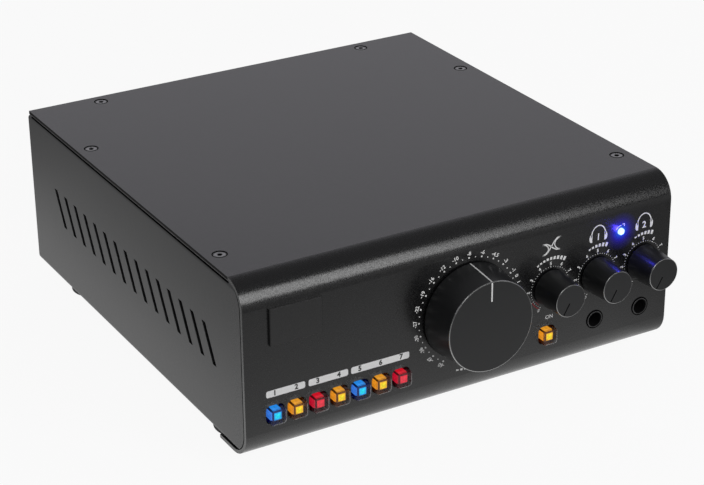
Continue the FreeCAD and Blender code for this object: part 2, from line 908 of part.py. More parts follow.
def make_feet():
    hole = "Sizes.screw_shank + Sizes.hole_play"
    for name, (side, depth) in foot_spots().items():
        foot = turned_body(
            "Foot_" + name,
            [
                (hole, "Sizes.foot_well"),
                ("Sizes.foot_well_radius", "Sizes.foot_well"),
                ("Sizes.foot_well_radius", "0"),
                ("Sizes.foot_radius", "0"),
                ("Sizes.foot_radius", TRAY_LOW),
                (hole, TRAY_LOW),
            ],
        )
        place(foot, side, depth, "0")
        finish(foot, "foot_" + name)


def make_front_plate():
    """The raised plate at the front's upper left, with softened edges."""
    body = new_body("FrontPlate")
    outline = new_sketch(body, "front_plate_outline", "XY_Plane")
    wide = "Sizes.plate_wide / 2"
    high = "Sizes.plate_high / 2"
    rectangle(outline, "-" + wide, wide, "-" + high, high)
    slab = add_pad(body, outline, "Sizes.plate_thick")
    face_edges = any_of(*(runs_along(axis, z="Sizes.plate_thick") for axis in "xy"))
    round_edges(body, slab, "Sizes.plate_edge", face_edges, "Chamfer")
    place(body, "Sizes.plate_side", FRONT, "Sizes.plate_level", OUT_OF_FRONT)
    finish(body, "front_plate")


# Dial, knobs and potentiometers ----------------------------------------------------------


def knob_profile(kind):
    """Half section of a knob: tapered skin, hollow back and the bore for its shaft."""
    names = ("base", "rim", "gap", "out", "recess", "recess_top", "bore_top")
    base, rim, gap, out, recess, recess_top, bore_top = ("Sizes.%s_%s" % (kind, name) for name in names)
    return [
        (recess, gap),
        (base, gap),
        (rim, out),
        ("0", out),
        ("0", bore_top),
        ("Sizes.shaft_radius", bore_top),
        ("Sizes.shaft_radius", recess_top),
        (recess, recess_top),
    ]


def make_volume_dial():
    knob = turned_body("VolumeDial", knob_profile("dial"))
    rim = circle_at("Sizes.dial_out", "Sizes.dial_rim")
    round_edges(knob, knob.Tip, "Sizes.dial_edge", rim, "Chamfer")
    inset = "Sizes.pointer_depth"
    groove = new_sketch(knob, "pointer_groove", "YZ_Plane")
    polygon(groove, pointer_outline("Sizes.run_out", inset, "Sizes.dial_gap - Sizes.run_out"))
    add_pocket(knob, groove, "Sizes.pointer_width", both_ways=True)
    place(knob, "Sizes.dial_side", FRONT, "Sizes.dial_level", OUT_OF_FRONT)
    finish(knob, "volume_knob")

    pointer = new_body("DialPointer")
    line = new_sketch(pointer, "pointer_line", "YZ_Plane")
    polygon(line, pointer_outline("Sizes.pointer_proud", inset, "Sizes.dial_gap"))
    add_pad(pointer, line, "Sizes.pointer_width", both_ways=True)
    place(pointer, "Sizes.dial_side", FRONT, "Sizes.dial_level", OUT_OF_FRONT)
    finish(pointer, "volume_pointer")


def pointer_outline(proud, inset, start):
    """The bent line up the dial's side and in over its face, proud of it and let in."""
    slope = "(Sizes.dial_base - Sizes.dial_rim) / (Sizes.dial_out - Sizes.dial_gap)"
    foot = "Sizes.dial_base + (Sizes.dial_gap - (%s)) * %s" % (start, slope)
    inner = "Sizes.dial_rim - Sizes.pointer_reach"
    return [
        ("%s - %s" % (foot, inset), start),
        ("%s + %s" % (foot, proud), start),
        ("Sizes.dial_rim + %s" % proud, "Sizes.dial_out - Sizes.dial_edge"),
        ("Sizes.dial_rim - Sizes.dial_edge", "Sizes.dial_out + %s" % proud),
        (inner, "Sizes.dial_out + %s" % proud),
        (inner, "Sizes.dial_out - %s" % inset),
        ("Sizes.dial_rim - %s" % inset, "Sizes.dial_out - %s" % inset),
    ]


def make_small_knobs():
    # At rest each small knob stands at the low end of its scale.
    lowest = Rotation(Vector(0, 0, 1), LOW_END_OF_SCALE)
    rim = circle_at("Sizes.knob_out", "Sizes.knob_rim")
    for number in range(SMALL_KNOBS):
        name = "SmallKnob%d" % (number + 1)
        knob = turned_body(name, knob_profile("knob"))
        round_edges(knob, knob.Tip, "Sizes.knob_edge", rim, "Chamfer")
        notch = new_sketch(knob, name + "_notch", "XY_Plane", lift="Sizes.knob_out")
        half = "Sizes.notch_width / 2"
        rectangle(notch, "-" + half, half, "Sizes.notch_start", "Sizes.notch_end")
        add_pocket(knob, notch, "Sizes.notch_depth")
        place(knob, knob_side(number), FRONT, "Sizes.knob_level", OUT_OF_FRONT.multiply(lowest))
        finish(knob, "small_knob_%d" % (number + 1))


def potentiometer(name, housing):
    """A housing with a threaded bushing, bored for its shaft."""
    inside = "-Sizes.cover_sheet - 2 * Sizes.pot_gap"
    bushing = rod(name + "_bushing", "Sizes.bushing_radius", inside, "Sizes.bushing_out")
    past = "Sizes.bushing_out + Sizes.run_out"
    bore = rod(name + "_bore", "Sizes.shaft_radius + Sizes.shaft_play", "-Sizes.pot_bore_in", past)
    return cut(name, fuse(name + "_blank", housing, bushing), bore)


def make_potentiometers():
    back = "-Sizes.board_in"
    top = "-Sizes.cover_sheet - Sizes.pot_gap"
    volume = potentiometer("VolumePot", rod("volume_can", "Sizes.volume_can", back, top))
    place(volume, "Sizes.dial_side", FRONT, "Sizes.dial_level", OUT_OF_FRONT)
    finish(volume, "volume_pot")
    small = potentiometer("SmallPot", square_block("small_can", "Sizes.small_can", back, top))
    spots = [(knob_side(number), FRONT, "Sizes.knob_level") for number in range(SMALL_KNOBS)]
    finish(copies("SmallPots", small, spots, OUT_OF_FRONT), "small_pots")
    ring = hexagonal("nut_blank", "Sizes.nut_radius", "0", "Sizes.nut_thick")
    past = "Sizes.nut_thick + Sizes.run_out"
    nut = cut("bushing_nut", ring, rod("nut_bore", "Sizes.bushing_radius", "-Sizes.run_out", past))
    spots.append(("Sizes.dial_side", FRONT, "Sizes.dial_level"))
    finish(copies("BushingNuts", nut, spots, OUT_OF_FRONT), "bushing_nuts")
    make_shaft("volume_shaft", "Sizes.dial_bore_top", "Sizes.dial_side", "Sizes.dial_level")
    for number in range(SMALL_KNOBS):
        name = "small_shaft_%d" % (number + 1)
        make_shaft(name, "Sizes.knob_bore_top", knob_side(number), "Sizes.knob_level")


def make_shaft(node, top, side, level):
    """A shaft from inside its potentiometer out to the end of its knob's bore."""
    shaft = rod("Turning_" + node, "Sizes.shaft_radius", "-Sizes.shaft_in", top)
    place(shaft, side, behind_front("Sizes.shaft_in"), level, OUT_OF_FRONT)
    finish(shaft, node)


# Buttons, lamp and front board -----------------------------------------------------------


def make_button(name, side):
    back = "-Sizes.cap_in"
    cap_blank = square_block(name + "_cap_blank", "Sizes.cap_size", back, "Sizes.cap_out")
    corners = runs_along("z")
    rounded = worked_edges("Fillet", name + "_cap_rounded", cap_blank, corners, "Sizes.cap_edge")
    room = "Sizes.core_size + 2 * Sizes.core_play"
    ceiling = "Sizes.cap_out - Sizes.cap_face"
    hollow = square_block(name + "_cap_hollow", room, back + " - Sizes.run_out", ceiling)
    cap = cut(name + "_cap", rounded, hollow)
    place(cap, side, FRONT, "Sizes.button_level", OUT_OF_FRONT)
    finish(cap, name + "_cap")
    core_top = ceiling + " - Sizes.core_play"
    core_block = square_block(name + "_core_block", "Sizes.core_size", "-Sizes.core_in", core_top)
    face_edges = any_of(runs_along("x", z=core_top), runs_along("y", z=core_top))
    bevelled = worked_edges(
        "Chamfer", name + "_core_bevelled", core_block, face_edges, "Sizes.core_bevel"
    )
    plunger = square_block(name + "_plunger", "Sizes.plunger_wide", "-Sizes.plunger_in", "0")
    core = fuse(name + "_core", bevelled, plunger)
    place(core, side, FRONT, "Sizes.button_level", OUT_OF_FRONT)
    finish(core, name + "_core")


def make_buttons():
    names = ["button_%d" % (number + 1) for number in range(BUTTONS_IN_ROW)] + ["on_button"]
    for name, side in zip(names, button_sides()):
        make_button(name, side)
    base = square_block("switch_base", "Sizes.switch_size", "-Sizes.board_in", "-Sizes.switch_front")
    guide = square_block(
        "switch_guide",
        "Sizes.plunger_wide + 2 * Sizes.plunger_play",
        "-Sizes.board_in + Sizes.plunger_floor",
        "-Sizes.switch_front + Sizes.run_out",
    )
    switch = cut("push_switch", base, guide)
    spots = [(side, FRONT, "Sizes.button_level") for side in button_sides()]
    finish(copies("PushSwitches", switch, spots, OUT_OF_FRONT), "push_switches")


def make_lamp():
    """A small lamp with a bevelled nose that looks through the panel."""
    shoulder = "Sizes.lamp_out - Sizes.lamp_bevel"
    stem = rod("lamp_stem", "Sizes.lamp_radius", "-Sizes.lamp_in", shoulder)
    tip = "Sizes.lamp_radius - Sizes.lamp_bevel"
    nose = cone("lamp_nose", "Sizes.lamp_radius", tip, shoulder, "Sizes.lamp_out")
    back = "-Sizes.lamp_in - Sizes.lamp_brim_thick"
    brim = rod("lamp_brim", "Sizes.lamp_radius + Sizes.lamp_brim", back, "-Sizes.lamp_in")
    lamp = fuse("Lamp", stem, nose, brim)
    place(lamp, "Sizes.lamp_side", FRONT, "Sizes.lamp_level", OUT_OF_FRONT)
    finish(lamp, "lamp")


def make_front_board():
    near = behind_front("Sizes.board_in")
    far = behind_front("Sizes.board_in + Sizes.board_thick")
    slab = block(
        "front_board_slab",
        "-Sizes.board_side",
        "Sizes.board_side",
        near,
        far,
        "Sizes.board_low",
        "Sizes.board_high",
    )
    gaps = []
    half = "(Sizes.jack_body / 2 + Sizes.jack_room)"
    for number in range(HEADPHONE_SOCKETS):
        side = jack_side(number)
        gaps.append(
            block(
                "jack_gap_%d" % number,
                "%s - %s" % (side, half),
                "%s + %s" % (side, half),
                near + " - Sizes.run_out",
                far + " + Sizes.run_out",
                "Sizes.jack_level - " + half,
                "Sizes.jack_level + " + half,
            )
        )
    finish(cut("FrontBoard", slab, *gaps), "front_board")


# Sockets ---------------------------------------------------------------------------------


def make_headphone_sockets():
    """Square bodies with a round collar, bored for a 6.35 mm plug and closed at the back."""
    for number in range(HEADPHONE_SOCKETS):
        name = "HeadphoneJack%d" % (number + 1)
        back = "-Sizes.jack_length - Sizes.jack_back"
        front = "-Sizes.cover_sheet - Sizes.jack_gap"
        housing = square_block(name + "_housing", "Sizes.jack_body", back, front)
        collar_back = "-Sizes.jack_collar_in"
        collar = rod(name + "_collar", "Sizes.jack_collar", collar_back, "Sizes.jack_proud")
        bore_end = "Sizes.jack_proud - Sizes.jack_length"
        bore = rod(name + "_bore", "Sizes.jack_bore", bore_end, "Sizes.run_out")
        jack = cut(name, fuse(name + "_blank", housing, collar), bore)
        place(jack, jack_side(number), FRONT, "Sizes.jack_level", OUT_OF_FRONT)
        finish(jack, "headphone_jack_%d" % (number + 1))


def xlr_blank(name):
    """Flange outside the wall, round shell through it."""
    wide = "Sizes.xlr_flange_wide / 2"
    high = "Sizes.xlr_flange_high / 2"
    thick = "Sizes.xlr_flange_thick"
    flange = block(name + "_flange", "-" + wide, wide, "-" + high, high, "0", thick)
    rounded = document.addObject("Part::Fillet", name + "_flange_rounded")
    rounded.Base = flange
    document.recompute()
    corner = measure("Sizes.xlr_flange_corner")
    upright = edges_where(flange.Shape, runs_along("z"))
    rounded.Edges = [(int(label[4:]), corner, corner) for label in upright]
    shell = rod(name + "_shell", "Sizes.xlr_shell", "-Sizes.xlr_body", thick)
    return fuse(name + "_blank", rounded, shell)


def xlr_pin_spots(flip):
    """Three contacts on a circle: two level with each other and one across."""
    places = []
    for angle in XLR_PIN_ANGLES:
        across = "Sizes.xlr_pin_circle * cos(%d deg)" % angle
        up = "%d * Sizes.xlr_pin_circle * sin(%d deg)" % (flip, angle)
        places.append((across, up))
    return places


def make_xlr_sockets():
    for number, node in enumerate(XLR_SOCKETS):
        name = "Xlr%d" % (number + 1)
        build = xlr_female if "input" in node else xlr_male
        socket = build(name, xlr_blank(name))
        place(socket, xlr_side(number), REAR, "Sizes.rear_level", OUT_OF_REAR)
        finish(socket, node)


def xlr_female(name, blank):
    top = "Sizes.xlr_flange_thick"
    bottom = "-Sizes.xlr_depth"
    well = rod(name + "_well", "Sizes.xlr_bore", bottom, top + " + Sizes.run_out")
    face = top + " - Sizes.xlr_insert_sunk"
    insert = rod(name + "_insert", "Sizes.xlr_insert", bottom + " - Sizes.run_out", face)
    contacts = []
    reach = "Sizes.xlr_pin + Sizes.hole_play"
    for pin, (across, up) in enumerate(xlr_pin_spots(-1)):
        label = "%s_contact_%d" % (name, pin)
        contacts.append(rod(label, reach, "-Sizes.xlr_contact_in", top, across, up))
    shell = cut(name + "_open", blank, well)
    return fuse(name, shell, cut(name + "_core", insert, *contacts))


def xlr_male(name, blank):
    bottom = "-Sizes.xlr_depth"
    past = "Sizes.xlr_flange_thick + Sizes.run_out"
    well = rod(name + "_well", "Sizes.xlr_bore", bottom, past)
    pins = []
    for pin, (across, up) in enumerate(xlr_pin_spots(1)):
        label = "%s_pin_%d" % (name, pin)
        root = bottom + " - Sizes.run_out"
        pins.append(rod(label, "Sizes.xlr_pin", root, "-Sizes.xlr_pin_sunk", across, up))
    return fuse(name, cut(name + "_open", blank, well), *pins)


def make_phono_sockets():
    """Sleeved sockets whose square bases seat against the inside of the wall."""
    base = square_block("phono_base", "Sizes.phono_base", "-Sizes.phono_base_in", BEHIND_WALL)
    neck_radius = "Sizes.phono_hole - Sizes.phono_hole_play"
    neck = rod("phono_neck", neck_radius, BEHIND_WALL + " - Sizes.run_out", "Sizes.phono_neck")
    sleeve = rod("phono_sleeve", "Sizes.phono_sleeve", "0", "Sizes.phono_reach")
    past = "Sizes.phono_reach + Sizes.run_out"
    bore = rod("phono_contact", "Sizes.phono_bore", "0", past)
    socket = cut("phono_socket", fuse("phono_blank", base, neck, sleeve), bore)
    finish(copies("PhonoSockets", socket, phono_spots(), OUT_OF_REAR), "phono_sockets")


def make_inlet():
    """The low-voltage power inlet: collar, well and centre pin."""
    collar = rod("inlet_collar", "Sizes.inlet_radius", "-Sizes.inlet_in", "Sizes.inlet_out")
    base = square_block("inlet_base", "Sizes.inlet_base", "-Sizes.inlet_base_in", BEHIND_WALL)
    rim_radius = "Sizes.inlet_radius + Sizes.inlet_rim"
    rim = rod("inlet_rim", rim_radius, "0", "Sizes.inlet_rim_out")
    past = "Sizes.inlet_out + Sizes.run_out"
    well = rod("inlet_well", "Sizes.inlet_bore", "-Sizes.inlet_well_in", past)
    pin_top = "Sizes.inlet_out - Sizes.inlet_pin_sunk"
    pin = rod("inlet_pin", "Sizes.inlet_pin", "-Sizes.inlet_pin_in", pin_top)
    hollow = cut("inlet_hollow", fuse("inlet_blank", collar, base, rim), well)
    inlet = fuse("PowerInlet", hollow, pin)
    place(inlet, "Sizes.inlet_side", REAR, "Sizes.inlet_level", OUT_OF_REAR)
    finish(inlet, "power_inlet")


def make_power_switch():
    wide = "Sizes.rocker_frame_wide / 2"
    high = "Sizes.rocker_frame_high / 2"
    rim = block("rocker_rim", "-" + wide, wide, "-" + high, high, "0", "Sizes.rocker_rim")
    wall_wide = "(%s - Sizes.rocker_brim)" % wide
    wall_high = "(%s - Sizes.rocker_brim)" % high
    walls = block(
        "rocker_walls",
        "-" + wall_wide,
        wall_wide,
        "-" + wall_high,
        wall_high,
        "-Sizes.rocker_walls_in",
        "Sizes.rocker_rim",
    )
    room_wide = "(Sizes.rocker_wide / 2 + Sizes.rocker_side_play)"
    room_high = "(Sizes.rocker_high / 2 + Sizes.rocker_end_play)"
    room = block(
        "rocker_room",
        "-" + room_wide,
        room_wide,
        "-" + room_high,
        room_high,
        "-Sizes.rocker_room_in",
        "Sizes.rocker_rim + Sizes.run_out",
    )
    frame = cut("RockerFrame", fuse("rocker_frame_blank", rim, walls), room)
    place(frame, "Sizes.inlet_side", REAR, "Sizes.rocker_level", OUT_OF_REAR)
    finish(frame, "rocker_frame")
    make_rocker()


def make_rocker():
    """A rocker with two flat pads that meet at a ridge, tipped to its upper stop."""
    body = new_body("Rocker")
    section = new_sketch(body, "rocker_section", "YZ_Plane")
    half = "Sizes.rocker_high / 2"
    ridge = "Sizes.rocker_face"
    pad_end = "%s + %s * tan(Sizes.rocker_tilt)" % (ridge, half)
    bottom = "%s - Sizes.rocker_deep" % ridge
    polygon(
        section,
        [
            ("-" + half, bottom),
            (half, bottom),
            (half, pad_end),
            ("0", ridge),
            ("-" + half, pad_end),
        ],
    )
    add_pad(body, section, "Sizes.rocker_wide", both_ways=True)
    tipped = OUT_OF_REAR.multiply(Rotation(Vector(1, 0, 0), measure("Sizes.rocker_tilt")))
    place(body, "Sizes.inlet_side", REAR, "Sizes.rocker_level", tipped)
    finish(body, "rocker")


# Main board ------------------------------------------------------------------------------


def make_main_board():
    """The main board and the four hexagonal posts under it."""
    slab = block(
        "MainBoard",
        "-Sizes.main_side",
        "Sizes.main_side",
        behind_front("Sizes.main_front"),
        behind_front("Sizes.main_rear"),
        "Sizes.main_level",
        BOARD_TOP,
    )
    finish(slab, "main_board")
    floor = "(%s + Sizes.tray_sheet)" % TRAY_LOW
    post = hexagonal("spacer_post", "Sizes.spacer_radius", "0", "Sizes.main_level - " + floor)
    spots = [(side, depth, floor) for side, depth in spacer_spots()]
    finish(copies("Spacers", post, spots), "spacers")


def make_board_parts():
    """Relays, filter capacitors and a finned heat sink that stand on the main board."""
    wide = "Sizes.relay_wide / 2"
    long = "Sizes.relay_long / 2"
    relay = block("relay", "-" + wide, wide, "-" + long, long, "0", "Sizes.relay_high")
    depth = behind_front("Sizes.main_rear - Sizes.relay_inset")
    first = -(BUTTONS_IN_ROW - 1) / 2
    spots = []
    for number in range(BUTTONS_IN_ROW):
        spots.append(("(%g) * Sizes.relay_pitch" % (first + number), depth, BOARD_TOP))
    finish(copies("Relays", relay, spots), "relays")
    can = rod("capacitor", "Sizes.can_radius", "0", "Sizes.can_high")
    spots = []
    for column in range(2):
        for row in range(2):
            side = "Sizes.can_side - %d * Sizes.can_pitch" % column
            depth = behind_front("Sizes.can_front + %d * Sizes.can_pitch" % row)
            spots.append((side, depth, BOARD_TOP))
    finish(copies("Capacitors", can, spots), "capacitors")
    make_heat_sink()


def make_heat_sink():
    """Upright fins across one web, spread evenly from end to end."""
    half_wide = "Sizes.sink_wide / 2"
    half_web = "Sizes.sink_web / 2"
    half_deep = "Sizes.sink_deep / 2"
    high = "Sizes.sink_high"
    comb = [block("sink_web", "-" + half_wide, half_wide, "-" + half_web, half_web, "0", high)]
    step = "(Sizes.sink_wide - Sizes.sink_fin) / (Sizes.sink_fins - 1)"
    for number in range(count_of("sink_fins")):
        left = "%d * %s - %s" % (number, step, half_wide)
        right = left + " + Sizes.sink_fin"
        comb.append(block("sink_fin_%d" % number, left, right, "-" + half_deep, half_deep, "0", high))
    sink = fuse("HeatSink", *comb)
    place(sink, "Sizes.sink_side", behind_front("Sizes.sink_front"), BOARD_TOP)
    finish(sink, "heat_sink")


# Assembly --------------------------------------------------------------------------------


def check_document():
    document.recompute()
    for member in document.Objects:
        if {"Invalid", "Error"} & set(member.State):
            raise RuntimeError("%s failed: %s" % (member.Name, member.State))
    for node, piece in nodes.items():
        if piece.Shape.isNull() or not piece.Shape.isValid() or not piece.Shape.Solids:
            raise RuntimeError("%s has no valid shape" % node)


def export_nodes():
    os.makedirs("parts", exist_ok=True)
    for node, piece in nodes.items():
        piece.Shape.exportStep("parts/%s.step" % node)
        print("%-20s %d solid(s) %9.1f mm3" % (node, len(piece.Shape.Solids), piece.Shape.Volume))


fill_sheet()
make_cover()
make_tray()
make_screws()
make_feet()
make_front_plate()
make_volume_dial()
make_small_knobs()
make_potentiometers()
make_buttons()
make_lamp()
make_front_board()
make_headphone_sockets()
make_xlr_sockets()
make_phono_sockets()
make_inlet()
make_power_switch()
make_main_board()
make_board_parts()
check_document()
export_nodes()
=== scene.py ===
"""Looks of the desktop studio monitor controller, built around its CAD frame. Metres, +Z up."""

import json
import math

import bmesh
import bpy
from mathutils import Matrix, Vector


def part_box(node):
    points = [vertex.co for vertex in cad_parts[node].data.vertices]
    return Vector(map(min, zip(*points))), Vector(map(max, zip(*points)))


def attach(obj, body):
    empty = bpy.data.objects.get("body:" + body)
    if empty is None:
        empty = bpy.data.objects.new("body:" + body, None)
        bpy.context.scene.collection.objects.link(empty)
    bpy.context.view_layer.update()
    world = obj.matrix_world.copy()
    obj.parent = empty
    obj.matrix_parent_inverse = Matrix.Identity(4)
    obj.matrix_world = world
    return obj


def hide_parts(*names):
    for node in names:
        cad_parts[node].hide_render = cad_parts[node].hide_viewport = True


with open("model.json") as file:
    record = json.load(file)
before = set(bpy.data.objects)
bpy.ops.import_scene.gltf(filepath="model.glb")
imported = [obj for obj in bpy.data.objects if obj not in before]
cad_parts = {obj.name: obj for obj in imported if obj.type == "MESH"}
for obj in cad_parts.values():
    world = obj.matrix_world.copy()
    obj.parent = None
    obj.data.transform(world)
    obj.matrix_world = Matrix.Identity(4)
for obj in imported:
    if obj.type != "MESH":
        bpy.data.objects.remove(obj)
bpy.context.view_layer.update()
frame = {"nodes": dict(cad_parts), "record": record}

MM = 0.001
HOUSING = "housing"

# Camera, fitted to the photograph's perspective (frame of 704 x 485) ---------

CAMERA_PLACE = Vector((-425.2, -750.3, 444.8)) * MM
CAMERA_LOOK = Vector((0.44941, 0.78407, -0.42810))
CAMERA_ROLL = math.radians(-0.53)
CAMERA_FOCUS_PX = 2077.0
PHOTO_WIDTH_PX = 704.0
SENSOR_MM = 36.0

# Places read from the frame --------------------------------------------------

JOINTS = {joint["name"]: joint for joint in frame["record"]["behaviour"]["joints"]}
PANEL_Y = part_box("cover")[0][1]
PANEL_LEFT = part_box("cover")[0][0]
PANEL_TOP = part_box("cover")[1][2]


def joint_spot(name):
    """A hinge's place on the front panel as (x, z)."""
    place = JOINTS[name]["pos_m"]
    return place[0], place[2]


def middle(node):
    low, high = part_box(node)
    return (Vector(low) + Vector(high)) / 2


LAMP_FOOT = (middle("lamp").x, PANEL_Y, middle("lamp").z)
DIAL = joint_spot("volume_turn")
KNOBS = [joint_spot("knob_%d_turn" % number) for number in (1, 2, 3)]
ROW_BUTTONS = ["button_%d" % number for number in range(1, 8)]
BUTTONS = ROW_BUTTONS + ["on_button"]
BUTTON_COLOURS = ["blue", "amber", "red", "amber", "blue", "amber", "red", "amber"]

# Node helpers ----------------------------------------------------------------

# Places of a colour Mix node's sockets: share, first colour, second colour and result
MIX_SHARE, MIX_FIRST, MIX_SECOND, MIX_RESULT = 0, 6, 7, 2


class Shader:
    """A small wrapper that builds one material's node tree."""

    def __init__(self, name):
        self.material = bpy.data.materials.new(name)
        self.material.use_nodes = True
        self.tree = self.material.node_tree
        self.surface = self.tree.nodes["Principled BSDF"]
        self.coordinates = self.tree.nodes.new("ShaderNodeTexCoord")

    def node(self, kind, **settings):
        made = self.tree.nodes.new(kind)
        for name, value in settings.items():
            setattr(made, name, value)
        return made

    def link(self, source, target):
        self.tree.links.new(source, target)

    def set(self, **values):
        for name, value in values.items():
            self.surface.inputs[name.replace("_", " ")].default_value = value

    def noise(self, size_mm, detail=2.0, roughness=0.5):
        """Noise whose grains are about size_mm across, in the object's own space."""
        made = self.node("ShaderNodeTexNoise")
        made.inputs["Scale"].default_value = 1.0 / (size_mm * MM)
        made.inputs["Detail"].default_value = detail
        made.inputs["Roughness"].default_value = roughness
        self.link(self.coordinates.outputs["Object"], made.inputs["Vector"])
        return made.outputs["Fac"]

    def ramp(self, source, *stops):
        """A colour ramp from (position, grey or colour) stops."""
        made = self.node("ShaderNodeValToRGB")
        points = made.color_ramp.elements
        while len(points) < len(stops):
            points.new(0.5)
        for point, (position, colour) in zip(points, stops):
            point.position = position
            if isinstance(colour, (int, float)):
                colour = (colour, colour, colour)
            point.color = (*colour, 1.0)
        self.link(source, made.inputs["Fac"])
        return made.outputs["Color"]

    def multiply(self, first, second):
        made = self.node("ShaderNodeMix", data_type="RGBA", blend_type="MULTIPLY")
        made.inputs[MIX_SHARE].default_value = 1.0
        self.link(first, made.inputs[MIX_FIRST])
        self.link(second, made.inputs[MIX_SECOND])
        return made.outputs[MIX_RESULT]

    def mix(self, share, first, second):
        made = self.node("ShaderNodeMix", data_type="RGBA")
        self.link(share, made.inputs[MIX_SHARE])
        self.link(first, made.inputs[MIX_FIRST])
        self.link(second, made.inputs[MIX_SECOND])
        return made.outputs[MIX_RESULT]

    def run_share(self, axis, start, end):
        """How far a point is along an axis of the object: 0 at start, 1 at end."""
        parts = self.node("ShaderNodeSeparateXYZ")
        self.link(self.coordinates.outputs["Object"], parts.inputs[0])
        share = self.node("ShaderNodeMapRange")
        self.link(parts.outputs[axis], share.inputs["Value"])
        share.inputs["From Min"].default_value = start
        share.inputs["From Max"].default_value = end
        return share.outputs["Result"]

    def vector_math(self, operation, source, value=None):
        made = self.node("ShaderNodeVectorMath", operation=operation)
        self.link(source, made.inputs[0])
        if value is not None:
            made.inputs[1].default_value = value
        return made.outputs

    def distance_share(self, centre, reach_mm):
        """How far a point is from a place of the object: 0 there, 1 at reach_mm."""
        offset = self.vector_math("DISTANCE", self.coordinates.outputs["Object"], centre)
        share = self.node("ShaderNodeMath", operation="DIVIDE")
        self.link(offset["Value"], share.inputs[0])
        share.inputs[1].default_value = reach_mm * MM
        return share.outputs["Value"]

    def bump(self, source, height_mm, after=None):
        """Bends the light off the surface by a pattern, on top of an earlier bump if after names it."""
        made = self.node("ShaderNodeBump")
        made.inputs["Strength"].default_value = 1.0
        made.inputs["Distance"].default_value = height_mm * MM
        self.link(source, made.inputs["Height"])
        if after is not None:
            self.link(after, made.inputs["Normal"])
        self.link(made.outputs["Normal"], self.surface.inputs["Normal"])
        return made.outputs["Normal"]


# Materials -------------------------------------------------------------------


def scaled(shade, factor):
    return tuple(part * factor for part in shade)


# Painted light: the blue glow that the lamp throws on the coat round it, painted into the coat as emission,
# as (distance in mm, colour)
LAMP_GLOW_REACH_MM = 9.0
LAMP_GLOW = (
    (1.5, (0.0, 0.14, 0.7)),
    (2.1, (0.0, 0.05, 0.55)),
    (3.0, (0.0, 0.015, 0.44)),
    (3.8, (0.003, 0.003, 0.32)),
    (4.6, (0.004, 0.0, 0.19)),
    (5.5, (0.003, 0.0, 0.11)),
    (6.6, (0.001, 0.0, 0.055)),
    (LAMP_GLOW_REACH_MM, (0.0, 0.0, 0.0)),
)


def lit_by_lamp(coat):
    """Paints the blue glow that the lamp throws on the coat round it into the coat itself, as emission."""
    stops = [(reach_mm / LAMP_GLOW_REACH_MM, shade) for reach_mm, shade in LAMP_GLOW]
    glow = coat.ramp(coat.distance_share(LAMP_FOOT, LAMP_GLOW_REACH_MM), *stops)
    coat.link(glow, coat.surface.inputs["Emission Color"])
    coat.set(Emission_Strength=1.0)


COAT_GRAIN_MM = 0.6
COAT_WAVE_MM = 4 * COAT_GRAIN_MM
COAT_GLOSS = 0.7
# The grain breaks up the gloss of the front and its bend, and hardly that of the top behind them
GRAINY_SPREAD, EVEN_SPREAD = 0.09, 0.02
GRAINY_TO_Y, EVEN_FROM_Y = PANEL_Y + 9.0 * MM, PANEL_Y + 13.0 * MM


def powder_coat(name, shade, roughness, height_mm=0.024, lamp_glow_painted=False):
    """Fine-textured black powder coat: tiny soft grains over a slightly uneven skin."""
    coat = Shader(name)
    drift = coat.noise(38.0, detail=1.0)
    tone = coat.ramp(drift, (0.3, scaled(shade, 0.9)), (0.7, scaled(shade, 1.1)))
    coat.link(tone, coat.surface.inputs["Base Color"])
    grain = coat.noise(COAT_GRAIN_MM, detail=3.0, roughness=0.6)
    grainy, even = (
        coat.ramp(grain, (0.35, roughness - spread), (0.65, roughness + spread))
        for spread in (GRAINY_SPREAD, EVEN_SPREAD)
    )
    rough = coat.mix(coat.run_share("Y", GRAINY_TO_Y, EVEN_FROM_Y), grainy, even)
    coat.link(rough, coat.surface.inputs["Roughness"])
    wave = coat.bump(coat.noise(COAT_WAVE_MM, detail=1.0), height_mm)
    coat.bump(grain, height_mm, after=wave)
    coat.set(Specular_IOR_Level=COAT_GLOSS)
    # The lamp's glow is painted light, emitted by the coat itself
    if lamp_glow_painted:
        lit_by_lamp(coat)
    return coat.material


def anodised(name, shade, roughness):
    """Satin black anodised aluminium with very fine, soft grain."""
    skin = Shader(name)
    grain = skin.noise(0.18, detail=2.0)
    tone = skin.ramp(grain, (0.25, scaled(shade, 0.9)), (0.75, scaled(shade, 1.1)))
    skin.link(tone, skin.surface.inputs["Base Color"])
    rough = skin.ramp(skin.noise(9.0), (0.3, roughness - 0.02), (0.7, roughness + 0.03))
    skin.link(rough, skin.surface.inputs["Roughness"])
    skin.bump(grain, 0.004)
    skin.set(Specular_IOR_Level=0.5)
    return skin.material


def plastic(name, shade, roughness, height_mm=0.008, gloss=0.5):
    """Moulded plastic or rubber with a fine spark-eroded texture."""
    skin = Shader(name)
    grain = skin.noise(0.4, detail=2.0)
    tone = skin.ramp(grain, (0.25, scaled(shade, 0.88)), (0.75, scaled(shade, 1.12)))
    skin.link(tone, skin.surface.inputs["Base Color"])
    rough = skin.ramp(grain, (0.3, max(roughness - 0.05, 0.02)), (0.7, roughness + 0.05))
    skin.link(rough, skin.surface.inputs["Roughness"])
    skin.bump(grain, height_mm)
    skin.set(Specular_IOR_Level=gloss)
    return skin.material


def metal(name, shade, roughness):
    """Plated or turned bare metal with faint wear."""
    skin = Shader(name)
    grain = skin.noise(0.6, detail=3.0)
    tone = skin.ramp(grain, (0.3, scaled(shade, 0.85)), (0.7, shade))
    skin.link(tone, skin.surface.inputs["Base Color"])
    rough = skin.ramp(grain, (0.3, roughness), (0.7, roughness + 0.08))
    skin.link(rough, skin.surface.inputs["Roughness"])
    skin.set(Metallic=1.0)
    return skin.material


